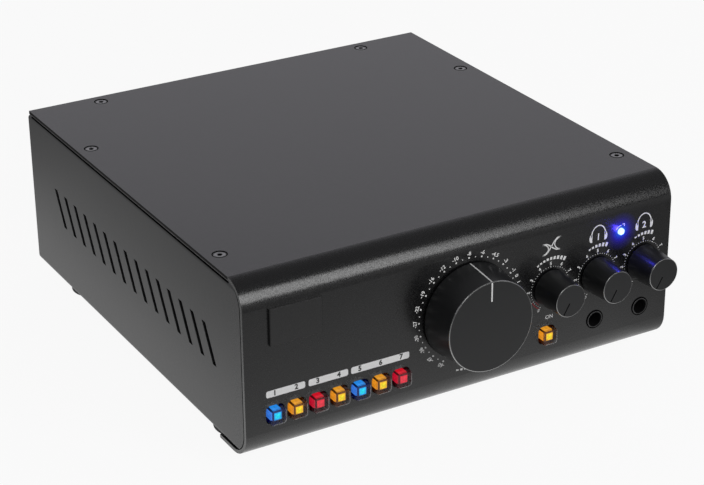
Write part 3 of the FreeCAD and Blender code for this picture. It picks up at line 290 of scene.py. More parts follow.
def print_ink(name, shade):
    """Screen-printed ink: matt, a touch uneven."""
    ink = Shader(name)
    speck = ink.noise(0.25, detail=2.0)
    tone = ink.ramp(speck, (0.25, scaled(shade, 0.88)), (0.6, shade))
    ink.link(tone, ink.surface.inputs["Base Color"])
    ink.set(Roughness=0.55)
    ink.bump(speck, 0.003)
    return ink.material


def clear_cap(name):
    """Clear moulded acrylic with a very slight ripple; it bends little, so that the lit block shows."""
    cap = Shader(name)
    cap.set(Base_Color=(0.97, 0.97, 0.98, 1.0), Transmission_Weight=1.0, IOR=1.12)
    cap.set(Coat_Weight=0.8, Coat_Roughness=0.04, Coat_IOR=1.5)
    ripple = cap.noise(1.6, detail=1.0)
    rough = cap.ramp(ripple, (0.3, 0.03), (0.7, 0.06))
    cap.link(rough, cap.surface.inputs["Roughness"])
    cap.bump(ripple, 0.01)
    return cap.material


def cap_edge(name):
    """A painted highlight: the front edge of a clear cap where it catches the light from the table, drawn as
    a half milky grey.
    """
    edge = Shader(name)
    speck = edge.noise(0.5, detail=2.0)
    tone = edge.ramp(speck, (0.3, 0.24), (0.7, 0.36))
    edge.link(tone, edge.surface.inputs["Base Color"])
    edge.set(Roughness=0.25, Alpha=0.6)
    return edge.material


GLOW = "glow"


def lit_block(name, shade):
    """A coloured block lit from inside; its mesh's colours say how each face glows."""
    core = Shader(name)
    glow = core.node("ShaderNodeAttribute", attribute_name=GLOW)
    patches = core.ramp(core.noise(1.3, detail=1.0), (0.3, 0.7), (0.62, 1.0))
    core.link(core.multiply(glow.outputs["Color"], patches), core.surface.inputs["Emission Color"])
    core.set(Base_Color=(*shade, 1.0), Roughness=0.5, Specular_IOR_Level=0.15, Emission_Strength=1.0)
    return core.material


def lamp_lens(name, hot, rim, centre, reach_mm):
    """A lit lamp's lens: nearly white all over, deeper where it meets the panel."""
    lens = Shader(name)
    speck = lens.ramp(lens.noise(0.5), (0.3, 0.94), (0.7, 1.0))
    tone = lens.ramp(lens.distance_share(centre, reach_mm), (0.9, hot), (1.0, rim))
    lens.link(lens.multiply(tone, speck), lens.surface.inputs["Emission Color"])
    lens.set(Base_Color=(*rim, 1.0), Roughness=0.2, Emission_Strength=1.0)
    return lens.material


def seen(red, green, blue):
    """A colour as it shows on screen, 0 to 255, turned into the linear values that shaders take."""
    shares = (part / 255 for part in (red, green, blue))
    return tuple(((share + 0.055) / 1.055) ** 2.4 if share > 0.04 else share / 12.92 for share in shares)


# How each side of a button's lit block glows; side is the left one, and edge is the painted shade of the dark
# bevels between the faces
CORE_GLOWS = {
    "blue": {"front": seen(0, 235, 255), "rim": seen(20, 150, 245), "top": seen(40, 150, 250),
             "side": seen(60, 130, 240), "edge": seen(0, 0, 80)},
    "amber": {"front": seen(255, 232, 30), "rim": seen(252, 180, 25), "top": seen(245, 165, 45),
              "side": seen(248, 155, 35), "edge": seen(75, 25, 0)},
    "red": {"front": seen(236, 52, 72), "rim": seen(230, 28, 52), "top": seen(226, 18, 42),
            "side": seen(208, 20, 50), "edge": seen(60, 0, 12)},
}
# A block's own colour under its glow, as a share of its rim's
CORE_UNLIT = 0.08


def make_materials():
    made = {
        # The case's coat carries the lamp's painted glow
        "case": powder_coat("powder_coat", (0.005, 0.005, 0.0054), 0.25, lamp_glow_painted=True),
        "tray": powder_coat("tray_coat", (0.008, 0.0086, 0.009), 0.42),
        "plate": powder_coat("plate_coat", (0.006, 0.006, 0.0062), 0.36, height_mm=0.02),
        "knob": anodised("knob_anodised", (0.012, 0.0125, 0.013), 0.34),
        "screw": metal("screw_black", (0.05, 0.05, 0.052), 0.42),
        "foot": plastic("foot_rubber", (0.018, 0.018, 0.018), 0.75, height_mm=0.02),
        "socket": plastic("socket_plastic", (0.008, 0.008, 0.0085), 0.4),
        "metal": metal("plated_metal", (0.62, 0.62, 0.63), 0.2),
        "sink": metal("sink_aluminium", (0.5, 0.5, 0.51), 0.35),
        "board": plastic("board_green", (0.01, 0.06, 0.03), 0.4),
        "parts": plastic("component_dark", (0.03, 0.03, 0.035), 0.5),
        "cap": clear_cap("clear_cap"),
        "cap_edge": cap_edge("cap_edge"),
        "rim": metal("machined_rim", (0.42, 0.42, 0.42), 0.17),
        "screw_head": metal("screw_head", (0.36, 0.36, 0.365), 0.34),
        # Black for painted shade in gaps, sockets, creases and round the slots
        "painted_shade": plastic("painted_shade_black", (0.002, 0.002, 0.002), 0.7, gloss=0.0),
        "cut_edge": plastic("cut_edge_coat", (0.006, 0.006, 0.006), 0.6, gloss=0.12),
        # Painted highlight: a grey metal strip along the foot of the cover's cut edge
        "edge_highlight": metal("edge_highlight", (0.24, 0.24, 0.24), 0.3),
        "jack_ring": plastic("jack_ring", (0.04, 0.04, 0.041), 0.3),
        "ink": print_ink("white_ink", (0.86, 0.86, 0.85)),
        "label": print_ink("label_ink", (0.8, 0.8, 0.8)),
        "label_text": print_ink("label_text_ink", (0.012, 0.012, 0.012)),
        "red_ink": print_ink("red_ink", (0.32, 0.015, 0.02)),
        "pointer": print_ink("pointer_white", (0.8, 0.8, 0.79)),
        "lamp": lamp_lens("lamp_blue", seen(238, 250, 255), seen(90, 190, 255), LAMP_FOOT, 1.75),
    }
    for colour, glows in CORE_GLOWS.items():
        made["core_" + colour] = lit_block("core_" + colour, scaled(glows["rim"], CORE_UNLIT))
    return made


MATERIALS = make_materials()


def dress_frame():
    """Gives each carried-over CAD node the finish of its slot."""
    slots = {part["node"]: part["material_slot"] for part in frame["record"]["subparts"]}
    for node, piece in frame["nodes"].items():
        material = MATERIALS[slots[node]]
        if not piece.material_slots:
            piece.data.materials.append(material)
        for place in piece.material_slots:
            place.material = material


# Mesh helpers ----------------------------------------------------------------


def new_piece(name, mesh, material, body):
    piece = bpy.data.objects.new(name, mesh)
    bpy.context.scene.collection.objects.link(piece)
    mesh.materials.append(MATERIALS[material])
    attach(piece, body)
    return piece


def mesh_from(builder, name):
    build = bmesh.new()
    builder(build)
    bmesh.ops.recalc_face_normals(build, faces=build.faces)
    mesh = bpy.data.meshes.new(name)
    build.to_mesh(mesh)
    build.free()
    return mesh


# How far a print or a thin band reaches into its surface and stands out of it
INK_UNDER = 0.02 * MM
INK_OVER = 0.03 * MM


def add_prism(build, outline):
    """A thin closed slab on the front panel from (x, z) points that run round it."""
    back = [build.verts.new((x, PANEL_Y + INK_UNDER, z)) for x, z in outline]
    front = [build.verts.new((x, PANEL_Y - INK_OVER, z)) for x, z in outline]
    build.faces.new(front)
    build.faces.new(list(reversed(back)))
    for index in range(len(outline)):
        after = (index + 1) % len(outline)
        build.faces.new((back[index], back[after], front[after], front[index]))


def circle_points(centre, radius, count):
    turns = [2 * math.pi * step / count for step in range(count)]
    return [(centre[0] + radius * math.cos(turn), centre[1] + radius * math.sin(turn)) for turn in turns]


def on_ring(centre, radius, angle):
    """A point on a dial's ring; angle in degrees clockwise from straight up."""
    turn = math.radians(angle)
    return centre[0] + radius * math.sin(turn), centre[1] + radius * math.cos(turn)


def ring_band(centre, inner, outer, start, end, steps):
    """Outline of a band between two radii, from one angle to another."""
    angles = [start + (end - start) * (step / steps) for step in range(steps + 1)]
    points = [on_ring(centre, outer, angle) for angle in angles]
    return points + [on_ring(centre, inner, angle) for angle in reversed(angles)]


def stroke_points(path, width):
    """Outline of a line of even width through (x, z) points."""
    sides = ([], [])
    for index, point in enumerate(path):
        before = Vector(path[max(index - 1, 0)])
        after = Vector(path[min(index + 1, len(path) - 1)])
        along = (after - before).normalized()
        across = Vector((-along.y, along.x)) * width / 2
        sides[0].append(tuple(Vector(point) + across))
        sides[1].append(tuple(Vector(point) - across))
    return sides[0] + list(reversed(sides[1]))


def rounded_bar(left, right, low, high, corner, steps=5):
    points = []
    for x, z, start in (
        (right - corner, high - corner, 0),
        (left + corner, high - corner, 90),
        (left + corner, low + corner, 180),
        (right - corner, low + corner, 270),
    ):
        for step in range(steps + 1):
            angle = math.radians(start + 90 * step / steps)
            points.append((x + corner * math.cos(angle), z + corner * math.sin(angle)))
    return points


def text_mesh(words, size, bold, spin):
    """A flat mesh of a word or number, centred on the origin in X and Z, facing -Y."""
    curve = bpy.data.curves.new("lettering", "FONT")
    curve.body = words
    curve.size = size
    curve.align_x = "CENTER"
    curve.align_y = "CENTER"
    curve.offset = bold
    curve.extrude = (INK_UNDER + INK_OVER) / 2
    curve.resolution_u = 3
    holder = bpy.data.objects.new("lettering", curve)
    bpy.context.scene.collection.objects.link(holder)
    bpy.context.view_layer.update()
    mesh = bpy.data.meshes.new_from_object(holder)
    bpy.data.objects.remove(holder)
    bpy.data.curves.remove(curve)
    upright = Matrix.Rotation(math.radians(90), 4, "X")
    turned = Matrix.Rotation(math.radians(spin), 4, "Y")
    mesh.transform(turned @ upright)
    return mesh


def add_text(build, words, x, z, style, spin=0.0, face_y=PANEL_Y):
    """Prints a word or number round (x, z); style is its size and how much bolder it is."""
    mesh = text_mesh(words, *style, spin)
    mesh.transform(Matrix.Translation((x, face_y + (INK_UNDER - INK_OVER) / 2, z)))
    build.from_mesh(mesh)
    bpy.data.meshes.remove(mesh)


def print_piece(name, draw, material="ink"):
    new_piece(name, mesh_from(draw, name), material, HOUSING)


# Rims, screws, edges and sockets ---------------------------------------------


def bridged(build, here, after):
    """Faces between two closed rings of points."""
    return [
        build.faces.new((here[index], here[further], after[further], after[index]))
        for index, further in ((index, (index + 1) % len(here)) for index in range(len(here)))
    ]


def swept(build, profile, place, turns):
    """A closed section of (radius, height) points turned about an axis; place sets each point."""
    rows = []
    for step in range(turns):
        angle = 2 * math.pi * step / turns
        rows.append([
            build.verts.new(place(radius * math.cos(angle), radius * math.sin(angle), height))
            for radius, height in profile
        ])
    faces = []
    for here, after in zip(rows, rows[1:] + rows[:1]):
        faces += bridged(build, here, after)
    return faces


def on_panel(centre):
    """Places turned sections round a spot of the front panel; heights count outwards."""
    return lambda across, up, out: (centre[0] + across, PANEL_Y - out, centre[1] + up)


# Radius of the face, how far it stands off the panel, and its rounded edge
DIAL_FACE = (20.5 * MM, 17.5 * MM, 0.35 * MM)
KNOB_FACE = (7.4 * MM, 15.3 * MM, 0.25 * MM)
RIM_SKIN = 0.03 * MM
RIM_TURNS = 96


def rim_piece(name, centre, body, face):
    """The bright machined edge round a knob's face."""
    radius, out, edge = face

    def draw(build):
        section = []
        for angle in (0, 30, 60, 90):
            turn = math.radians(angle)
            across, along = (edge + RIM_SKIN) * math.cos(turn), (edge + RIM_SKIN) * math.sin(turn)
            section.append((radius - edge + across, out - edge + along))
        section += [(radius - edge, out - RIM_SKIN), (radius - RIM_SKIN, out - edge)]
        swept(build, section, on_panel(centre), RIM_TURNS)

    new_piece(name, mesh_from(draw, name), "rim", body)


def make_rims():
    rim_piece("volume_rim", DIAL, "volume_dial", DIAL_FACE)
    for number, centre in enumerate(KNOBS, start=1):
        rim_piece("small_rim_%d" % number, centre, "knob_%d" % number, KNOB_FACE)


# Screws on either side: millimetres from the middle, and behind the front face
SCREW_SPOTS = ((98.35, 31.4), (98.35, 159.2), (71.2, 209.9))
SCREW_SUNK = 0.15 * MM
SCREW_SIDES = 24
# Rings of a screw as (radius, height) in millimetres, from the socket's floor to the shank's end
SCREW_SOCKET = ((1.05, -1.3), (1.15, -0.12))
SCREW_HEAD = ((1.35, 0.0), (2.45, 0.0), (2.8, -0.16), (1.4, -1.45), (1.4, -7.0))
SOCKET_WALL, HEAD_FACE, HEAD_CONE = 0, 2, 4
# Painted shade: a black ring in the gap round a sunk head
SEAT_INNER, SEAT_OUTER = 2.86 * MM, 3.3 * MM
SEAT_INNER_DEEP, SEAT_OUTER_DEEP = 0.1 * MM, 0.06 * MM


def round_ring(build, radius, height):
    turns = [2 * math.pi * step / SCREW_SIDES for step in range(SCREW_SIDES)]
    return [build.verts.new((radius * math.cos(turn), radius * math.sin(turn), height)) for turn in turns]


def hexagon_ring(build, radius, height):
    """A ring of points on a hexagon, so that it joins on to round ones."""
    made = []
    for step in range(SCREW_SIDES):
        angle = 2 * math.pi * step / SCREW_SIDES
        off_middle = (angle + math.pi / 6) % (math.pi / 3) - math.pi / 6
        reach = radius * math.cos(math.pi / 6) / math.cos(off_middle)
        made.append(build.verts.new((reach * math.cos(angle), reach * math.sin(angle), height)))
    return made


def draw_screw(build):
    """A countersunk screw with a hexagonal socket, a softened rim and its shank."""
    rings = [hexagon_ring(build, radius * MM, height * MM) for radius, height in SCREW_SOCKET]
    rings += [round_ring(build, radius * MM, height * MM) for radius, height in SCREW_HEAD]
    # The socket's floor and walls take the black of painted shade
    build.faces.new(rings[0]).material_index = 1
    for number, (here, after) in enumerate(zip(rings, rings[1:])):
        for face in bridged(build, here, after):
            face.material_index = 1 if number == SOCKET_WALL else 0
            face.smooth = number in (HEAD_FACE, HEAD_CONE)
    build.faces.new(rings[-1])
    lip = SCREW_SUNK + INK_OVER
    seat_shade = [
        (SEAT_INNER, lip),
        (SEAT_OUTER, lip),
        (SEAT_OUTER, lip - SEAT_OUTER_DEEP),
        (SEAT_INNER, lip - SEAT_INNER_DEEP),
    ]
    for face in swept(build, seat_shade, lambda across, up, out: (across, up, out), SCREW_SIDES):
        face.material_index = 1


def make_screw_heads():
    single = mesh_from(draw_screw, "screw_single")

    def draw(build):
        for side in (-1, 1):
            for across, behind in SCREW_SPOTS:
                spot = single.copy()
                turn = Matrix.Rotation(across * behind, 4, "Z")
                level = PANEL_TOP - SCREW_SUNK
                place = Matrix.Translation((side * across * MM, PANEL_Y + behind * MM, level))
                spot.transform(place @ turn)
                build.from_mesh(spot)
                bpy.data.meshes.remove(spot)

    mesh = mesh_from(draw, "cover_screw_heads")
    piece = new_piece("cover_screw_heads", mesh, "screw_head", HOUSING)
    piece.data.materials.append(MATERIALS["painted_shade"])
    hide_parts("cover_screws")
    bpy.data.meshes.remove(single)


SHEET = 1.6 * MM
COVER_BEND = 11.5 * MM
TRAY_FOLD = 2.4 * MM
# Depths below the cover's top: where the dark band starts, and where the painted highlight line takes over
EDGE_FROM = 0.12 * MM
EDGE_HIGHLIGHT_FROM = 1.4 * MM
FOLD_SHADOW_ANGLES = (24, 40, 56, 72, 88)


def lengthwise(build, section, low_y, high_y):
    """A closed section of (x, z) points run along the case from front to back."""
    ends = [[build.verts.new((x, y, z)) for x, z in section] for y in (low_y, high_y)]
    build.faces.new(ends[0])
    build.faces.new(list(reversed(ends[1])))
    bridged(build, *ends)


def edge_band(high, low):
    """Draws a thin band on the cover's cut edges between two depths below its top."""
    def draw(build):
        for side in (-1, 1):
            inner, outer = -side * (PANEL_LEFT + INK_UNDER), -side * (PANEL_LEFT - INK_OVER)
            top, foot = PANEL_TOP - high, PANEL_TOP - low
            section = [(inner, top), (outer, top), (outer, foot), (inner, foot)]
            lengthwise(build, section, PANEL_Y + COVER_BEND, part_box("cover")[1][1])

    return draw


def draw_fold_shadow(build):
    """A painted shadow: a black strip in the crevice between the cover and the tray's upper fold."""
    skins = (
        (TRAY_FOLD + INK_OVER, FOLD_SHADOW_ANGLES),
        (TRAY_FOLD - INK_UNDER, reversed(FOLD_SHADOW_ANGLES)),
    )
    arcs = [(radius, math.radians(angle)) for radius, angles in skins for angle in angles]
    for side in (-1, 1):
        x, z = -side * (PANEL_LEFT + TRAY_FOLD), PANEL_TOP - SHEET - TRAY_FOLD
        section = [(x + side * radius * math.cos(turn), z + radius * math.sin(turn)) for radius, turn in arcs]
        lengthwise(build, section, PANEL_Y + COVER_BEND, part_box("cover")[1][1] - SHEET)


def make_cover_edges():
    for name, draw, material in (
        ("cover_cut_edges", edge_band(EDGE_FROM, EDGE_HIGHLIGHT_FROM), "cut_edge"),
        ("cover_edge_highlights", edge_band(EDGE_HIGHLIGHT_FROM, SHEET), "edge_highlight"),
        ("fold_shadows", draw_fold_shadow, "painted_shade"),
    ):
        new_piece(name, mesh_from(draw, name), material, HOUSING)


# The leaning slots: their row starts VENT_FIRST behind the front face, at the slots' middles
VENT_COUNT = 15
VENT_PITCH = 11.0 * MM
VENT_FIRST = 30.8 * MM
VENT_MIDDLE = 46.7 * MM
VENT_RISE = 15.6 * MM
VENT_LEAN = 9.0 * MM
VENT_WIDE = 2.2 * MM
# Width of the band of painted shade round each slot
VENT_SHADE_BAND = 0.45 * MM


def vent_outline(heart, spread):
    """A leaning slot's corners as (y, z), grown by spread all round."""
    corners = []
    for end, half in ((-1, -1), (-1, 1), (1, 1), (1, -1)):
        y = heart + end * VENT_LEAN / 2 + half * (VENT_WIDE / 2 + spread)
        corners.append((y, VENT_MIDDLE + end * (VENT_RISE / 2 + spread)))
    return corners


def draw_vent_edges(build):
    """Painted shade: black bands round the leaning slots in both side plates."""
    for side, corner in ((-1, 0), (1, 1)):
        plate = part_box("chassis")[corner][0]
        for number in range(VENT_COUNT):
            heart = PANEL_Y + VENT_FIRST + number * VENT_PITCH
            hole, rim = vent_outline(heart, 0.0), vent_outline(heart, VENT_SHADE_BAND)
            under, over = plate - side * INK_UNDER, plate + side * INK_OVER
            section = ((hole, under), (rim, under), (rim, over), (hole, over))
            rows = [[build.verts.new((x, y, z)) for y, z in outline] for outline, x in section]
            for here, after in zip(rows, rows[1:] + rows[:1]):
                bridged(build, here, after)


def make_vent_edges():
    new_piece("vent_shade_bands", mesh_from(draw_vent_edges, "vent_shade_bands"), "painted_shade", HOUSING)


JACKS = ("headphone_jack_1", "headphone_jack_2")
# Section of a socket's raised lip as (radius, height over the collar), and the black rings of painted shade
# in the gaps beside it
JACK_LIP = ((3.38, 0.0), (3.46, 0.18), (3.7, 0.2), (3.85, 0.04), (3.85, -0.02), (3.4, -0.02))
JACK_GAP_SHADES = ((3.2, 3.38), (3.86, 4.35))
JACK_GAP_SHADE_HALF = 0.02 * MM
JACK_TURNS = 48


def draw_jack_ring(centre, face_out):
    """A socket's raised lip, with black rings of painted shade in the gaps on both sides of it."""
    def draw(build):
        place = on_panel(centre)
        lip = [(radius * MM, face_out + height * MM) for radius, height in JACK_LIP]
        swept(build, lip, place, JACK_TURNS)
        low, high = face_out - JACK_GAP_SHADE_HALF, face_out + JACK_GAP_SHADE_HALF
        for inner, outer in JACK_GAP_SHADES:
            gap_shade = [(inner * MM, high), (outer * MM, high), (outer * MM, low), (inner * MM, low)]
            for face in swept(build, gap_shade, place, JACK_TURNS):
                face.material_index = 1

    return draw


def make_jack_rings():
    for jack in JACKS:
        spot = middle(jack)
        face_out = PANEL_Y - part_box(jack)[0][1]
        name = jack + "_lip"
        mesh = mesh_from(draw_jack_ring((spot.x, spot.z), face_out), name)
        piece = new_piece(name, mesh, "jack_ring", HOUSING)
        piece.data.materials.append(MATERIALS["painted_shade"])


# Buttons ---------------------------------------------------------------------

CORE_HALF = 2.3 * MM
CORE_BEVEL = 0.65 * MM
CORE_CUT = 0.45 * MM
CORE_OUT = 2.0 * MM
CORE_BACK = 6.0 * MM
PLUNGER_HALF = 1.4 * MM
PLUNGER_BACK = 13.5 * MM
# Share of the front's half width that glows hottest
HOT_MIDDLE = 0.45
# The block's top and left sides glow; its other sides carry painted shade, as dim as this share of its edges
LIT_SIDES = {0: "top", 2: "side"}
PAINTED_SHADE_SIDE = 0.5
REAR_FADE = 0.75
DARK = (0.0, 0.0, 0.0)


def ring_at(build, outline, out):
    return [build.verts.new((x, -out, z)) for x, z in outline]


def cut_square(half, cut):
    """A square with cut corners, from the top right corner round by the top left."""
    flat = half - cut
    return [(flat, half), (-flat, half), (-half, flat), (-half, -flat),
            (-flat, -half), (flat, -half), (half, -flat), (half, flat)]


def plain_square(half):
    return [(half, half), (-half, half), (-half, -half), (half, -half)]


def draw_lit_block(glows):
    """The coloured block in a button: glowing faces, painted shade on the dark edges between them, and its
    plunger.
    """
    def draw(build):
        tint = build.loops.layers.float_color.new(GLOW)

        def face(points, *colours):
            made = build.faces.new(points)
            for loop, colour in zip(made.loops, colours * len(points) if len(colours) == 1 else colours):
                loop[tint] = (*colour, 1.0)

        flat = CORE_HALF - CORE_BEVEL
        hot = ring_at(build, plain_square(flat * HOT_MIDDLE), CORE_OUT)
        front = ring_at(build, plain_square(flat), CORE_OUT)
        shoulder = ring_at(build, cut_square(CORE_HALF, CORE_CUT), CORE_OUT - CORE_BEVEL)
        rear = ring_at(build, cut_square(CORE_HALF, CORE_CUT), -CORE_BACK)
        face(hot, glows["front"])
        for step in range(4):
            after = (step + 1) % 4
            face((hot[step], hot[after], front[after], front[step]),
                 glows["front"], glows["front"], glows["rim"], glows["rim"])
            face((front[step], front[after], shoulder[2 * step + 1], shoulder[2 * step]), glows["edge"])
            face((front[after], shoulder[2 * step + 1], shoulder[(2 * step + 2) % 8]), glows["edge"])
        for step in range(8):
            after = (step + 1) % 8
            near = glows[LIT_SIDES[step]] if step in LIT_SIDES else scaled(glows["edge"], PAINTED_SHADE_SIDE)
            far = scaled(near, REAR_FADE)
            face((shoulder[step], shoulder[after], rear[after], rear[step]), near, near, far, far)
        face(rear, DARK)
        stem = ring_at(build, plain_square(PLUNGER_HALF), -CORE_BACK)
        foot = ring_at(build, plain_square(PLUNGER_HALF), -PLUNGER_BACK)
        face(stem, DARK)
        face(foot, DARK)
        for step in range(4):
            after = (step + 1) % 4
            face((stem[step], stem[after], foot[after], foot[step]), DARK)

    return draw


CAP_HALF = 3.55 * MM
CAP_CORNER = 1.2 * MM
CAP_OUT = 3.1 * MM
CAP_IN = 4.5 * MM
CAP_EDGE = 0.42 * MM
CAP_EDGE_DEEP = 0.14 * MM


def draw_cap(build):
    """A clear block moulded round the lit one; a painted highlight shows milky grey on its front edge at the
    bottom and right.
    """
    def outline(inset):
        half = CAP_HALF - inset
        return rounded_bar(-half, half, -half, half, CAP_CORNER - inset)

    side_rear = ring_at(build, outline(0.0), -CAP_IN)
    side_front = ring_at(build, outline(0.0), CAP_OUT - CAP_EDGE_DEEP)
    face_edge = ring_at(build, outline(CAP_EDGE), CAP_OUT)
    build.faces.new(side_rear)
    build.faces.new(face_edge)
    bridged(build, side_rear, side_front)
    # The front edge's bottom and right facets take the painted highlight
    for face in bridged(build, side_front, face_edge):
        first, second = face.verts[0].co, face.verts[1].co
        face.material_index = 1 if first.x + second.x - first.z - second.z > CAP_HALF else 0


def make_buttons():
    cap_mesh = mesh_from(draw_cap, "button_cap")
    cap_mesh.materials.append(MATERIALS["cap"])
    cap_mesh.materials.append(MATERIALS["cap_edge"])
    for name, colour in zip(BUTTONS, BUTTON_COLOURS):
        centre = middle(name + "_cap")
        spot = (centre.x, PANEL_Y, centre.z)
        block_mesh = mesh_from(draw_lit_block(CORE_GLOWS[colour]), name + "_light")
        block = bpy.data.objects.new(name + "_light", block_mesh)
        block.data.materials.append(MATERIALS["core_" + colour])
        cap = bpy.data.objects.new(name + "_glass", cap_mesh.copy())
        for piece, node, slot_name in ((block, "_core", "core_" + colour), (cap, "_cap", "cap")):
            bpy.context.scene.collection.objects.link(piece)
            piece.location = spot
            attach(piece, name)
            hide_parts(name + node)


# Prints on the front panel ---------------------------------------------------

VOLUME_MARKS = {
    0: "-60", 2: "-47", 4: "-36", 6: "-30", 8: "-27", 10: "-22", 12: "-19", 14: "-16",
    16: "-12", 18: "-10", 20: "-8", 22: "-6", 24: "-4.5", 26: "-3", 28: "-1", 29: "0",
    30: "1", 32: "2", 34: "3", 36: "4", 38: "5", 40: "6",
}
MARK_COUNT = 41
MARK_STEP = 7.5
SWEEP_START = -150.0
VOLUME_DOTS = 24.15 * MM
VOLUME_DOT_BIG, VOLUME_DOT_SMALL = 0.42 * MM, 0.28 * MM
VOLUME_DOT_SIDES = 12
VOLUME_NUMBERS = 26.0 * MM
VOLUME_TEXT = (2.4 * MM, 0.06 * MM)
SMALL_DOTS = 9.75 * MM
SMALL_DOT_NUMBERED, SMALL_DOT_PLAIN = 0.26 * MM, 0.17 * MM
SMALL_DOT_SIDES = 10
SMALL_NUMBERS = 11.2 * MM
SMALL_TEXT = (2.1 * MM, 0.07 * MM)
NUMBERED_EVERY = 4


def draw_volume_scale(build):
    for index in range(MARK_COUNT):
        angle = SWEEP_START + MARK_STEP * index
        radius = VOLUME_DOT_SMALL if index % 2 else VOLUME_DOT_BIG
        dot = on_ring(DIAL, VOLUME_DOTS, angle)
        add_prism(build, circle_points(dot, radius, VOLUME_DOT_SIDES))
        if index in VOLUME_MARKS:
            x, z = on_ring(DIAL, VOLUME_NUMBERS, angle)
            add_text(build, VOLUME_MARKS[index], x, z, VOLUME_TEXT, angle)


BAR_SHORTEST = 0.5
BAR_GROWTH = 1.4
BAR_HALF_SHARE = 0.31
BAR_STEPS = 3
SMALL_MARK_RADIUS, SMALL_MARK_PITCH = 13.0, 1.7
DIAL_MARK_RADIUS, DIAL_MARK_PITCH, DIAL_MARK_BARS = 28.0, 2.0, 6
CROSSING_MARK_BARS, HEADPHONE_MARK_BARS = 9, 6


def level_mark(build, centre, radius_mm, count, pitch_mm, turned=0.0):
    """A row of bars along an arc that grow from left to right: more of what the control sets."""
    step_angle = math.degrees(pitch_mm / radius_mm)
    half = step_angle * BAR_HALF_SHARE
    for index in range(count):
        middle_angle = (index - (count - 1) / 2) * step_angle
        high = BAR_SHORTEST + BAR_GROWTH * (index + 1) / count
        if turned:
            inner, outer = radius_mm - high, radius_mm
            middle_angle = turned - middle_angle
        else:
            inner, outer = radius_mm, radius_mm + high
        start, end = middle_angle - half, middle_angle + half
        add_prism(build, ring_band(centre, inner * MM, outer * MM, start, end, BAR_STEPS))


def draw_small_scales(build):
    for centre in KNOBS:
        for index in range(MARK_COUNT):
            angle = SWEEP_START + MARK_STEP * index
            numbered = index % NUMBERED_EVERY == 0
            radius = SMALL_DOT_NUMBERED if numbered else SMALL_DOT_PLAIN
            dot = on_ring(centre, SMALL_DOTS, angle)
            add_prism(build, circle_points(dot, radius, SMALL_DOT_SIDES))
            if numbered:
                x, z = on_ring(centre, SMALL_NUMBERS, angle)
                add_text(build, str(index // NUMBERED_EVERY), x, z, SMALL_TEXT, angle)
        bars = CROSSING_MARK_BARS if centre is KNOBS[0] else HEADPHONE_MARK_BARS
        level_mark(build, centre, SMALL_MARK_RADIUS, bars, SMALL_MARK_PITCH)


# Inner and outer radius in millimetres, and the angles between which each arc runs
RED_ARCS = ((10.35, 10.75, -148, -120), (8.9, 9.2, -142, -124))
RED_ARC_STEPS = 24


def draw_red_arc(build):
    for inner, outer, start, end in RED_ARCS:
        add_prism(build, ring_band(KNOBS[0], inner * MM, outer * MM, start, end, RED_ARC_STEPS))


CUP_SQUARENESS = 0.6
CUP_INNER, CUP_WIDE = 3.2 * MM, 1.5 * MM
CUP_LOW, CUP_HIGH = -2.6 * MM, 1.4 * MM
BAND_HALF, BAND_RISE = 3.75 * MM, 4.9 * MM
BAND_STEPS = 18
SIGN_STROKE = 0.5 * MM
HEADPHONES_DOWN = 19.2 * MM
HEADPHONES_NUMBER_DOWN = 0.6 * MM
HEADPHONES_TEXT = (4.3 * MM, 0.1 * MM)


def cup_points(inner_x, low, high, wide, steps=8):
    """A headphone cup: flat on its inner side and rounded outwards by wide, which may be negative."""
    rise = (high - low) / 2
    points = []
    for step in range(steps + 1):
        angle = math.pi * (step / steps - 0.5)
        bulge = wide * math.cos(angle) ** CUP_SQUARENESS
        points.append((inner_x + bulge, low + rise + rise * math.sin(angle)))
    return points


def draw_headphones(build, centre_x, number):
    """A pair of headphones round a number: band and cups."""
    base = PANEL_TOP - HEADPHONES_DOWN
    turns = [math.radians(180 - 180 / BAND_STEPS * step) for step in range(BAND_STEPS + 1)]
    band = [(centre_x + BAND_HALF * math.cos(turn), base + BAND_RISE * math.sin(turn)) for turn in turns]
    add_prism(build, stroke_points(band, SIGN_STROKE))
    for side in (-1, 1):
        cup = cup_points(centre_x + side * CUP_INNER, base + CUP_LOW, base + CUP_HIGH, side * CUP_WIDE)
        add_prism(build, cup)
    add_text(build, str(number), centre_x, base - HEADPHONES_NUMBER_DOWN, HEADPHONES_TEXT)


CROSSING_DOWN = 18.2 * MM
CROSSING_HALF = 4.7 * MM
CROSSING_STEPS = 16
# Share of the width at each end over which the crossing lines run level
CROSSING_LEVEL = 0.14
# Heights of the two lines' left and right ends
CROSSING_ENDS = ((1.6 * MM, -2.1 * MM), (-3.4 * MM, 3.6 * MM))
ARC_BULGE = 3.1 * MM
ARC_STROKE = 0.42 * MM


def draw_crossing(build):
    """Two lines that cross between two arcs, for the control that mixes the two sides."""
    x, z = KNOBS[0][0], PANEL_TOP - CROSSING_DOWN
    shares = [step / CROSSING_STEPS for step in range(CROSSING_STEPS + 1)]
    for left_end, right_end in CROSSING_ENDS:
        line = []
        for share in shares:
            eased = min(max((share - CROSSING_LEVEL) / (1 - 2 * CROSSING_LEVEL), 0.0), 1.0)
            eased = eased * eased * (3 - 2 * eased)
            across = 2 * CROSSING_HALF * share - CROSSING_HALF
            line.append((x + across, z + left_end + (right_end - left_end) * eased))
        add_prism(build, stroke_points(line, SIGN_STROKE))
    for side, ends in zip((-1, 1), zip(*CROSSING_ENDS)):
        top_end, low_end = max(ends), min(ends)
        arc = []
        for share in shares:
            across = CROSSING_HALF - ARC_BULGE * math.sin(math.pi * share) ** 0.5
            arc.append((x + side * across, z + top_end + (low_end - top_end) * share))
        add_prism(build, stroke_points(arc, ARC_STROKE))


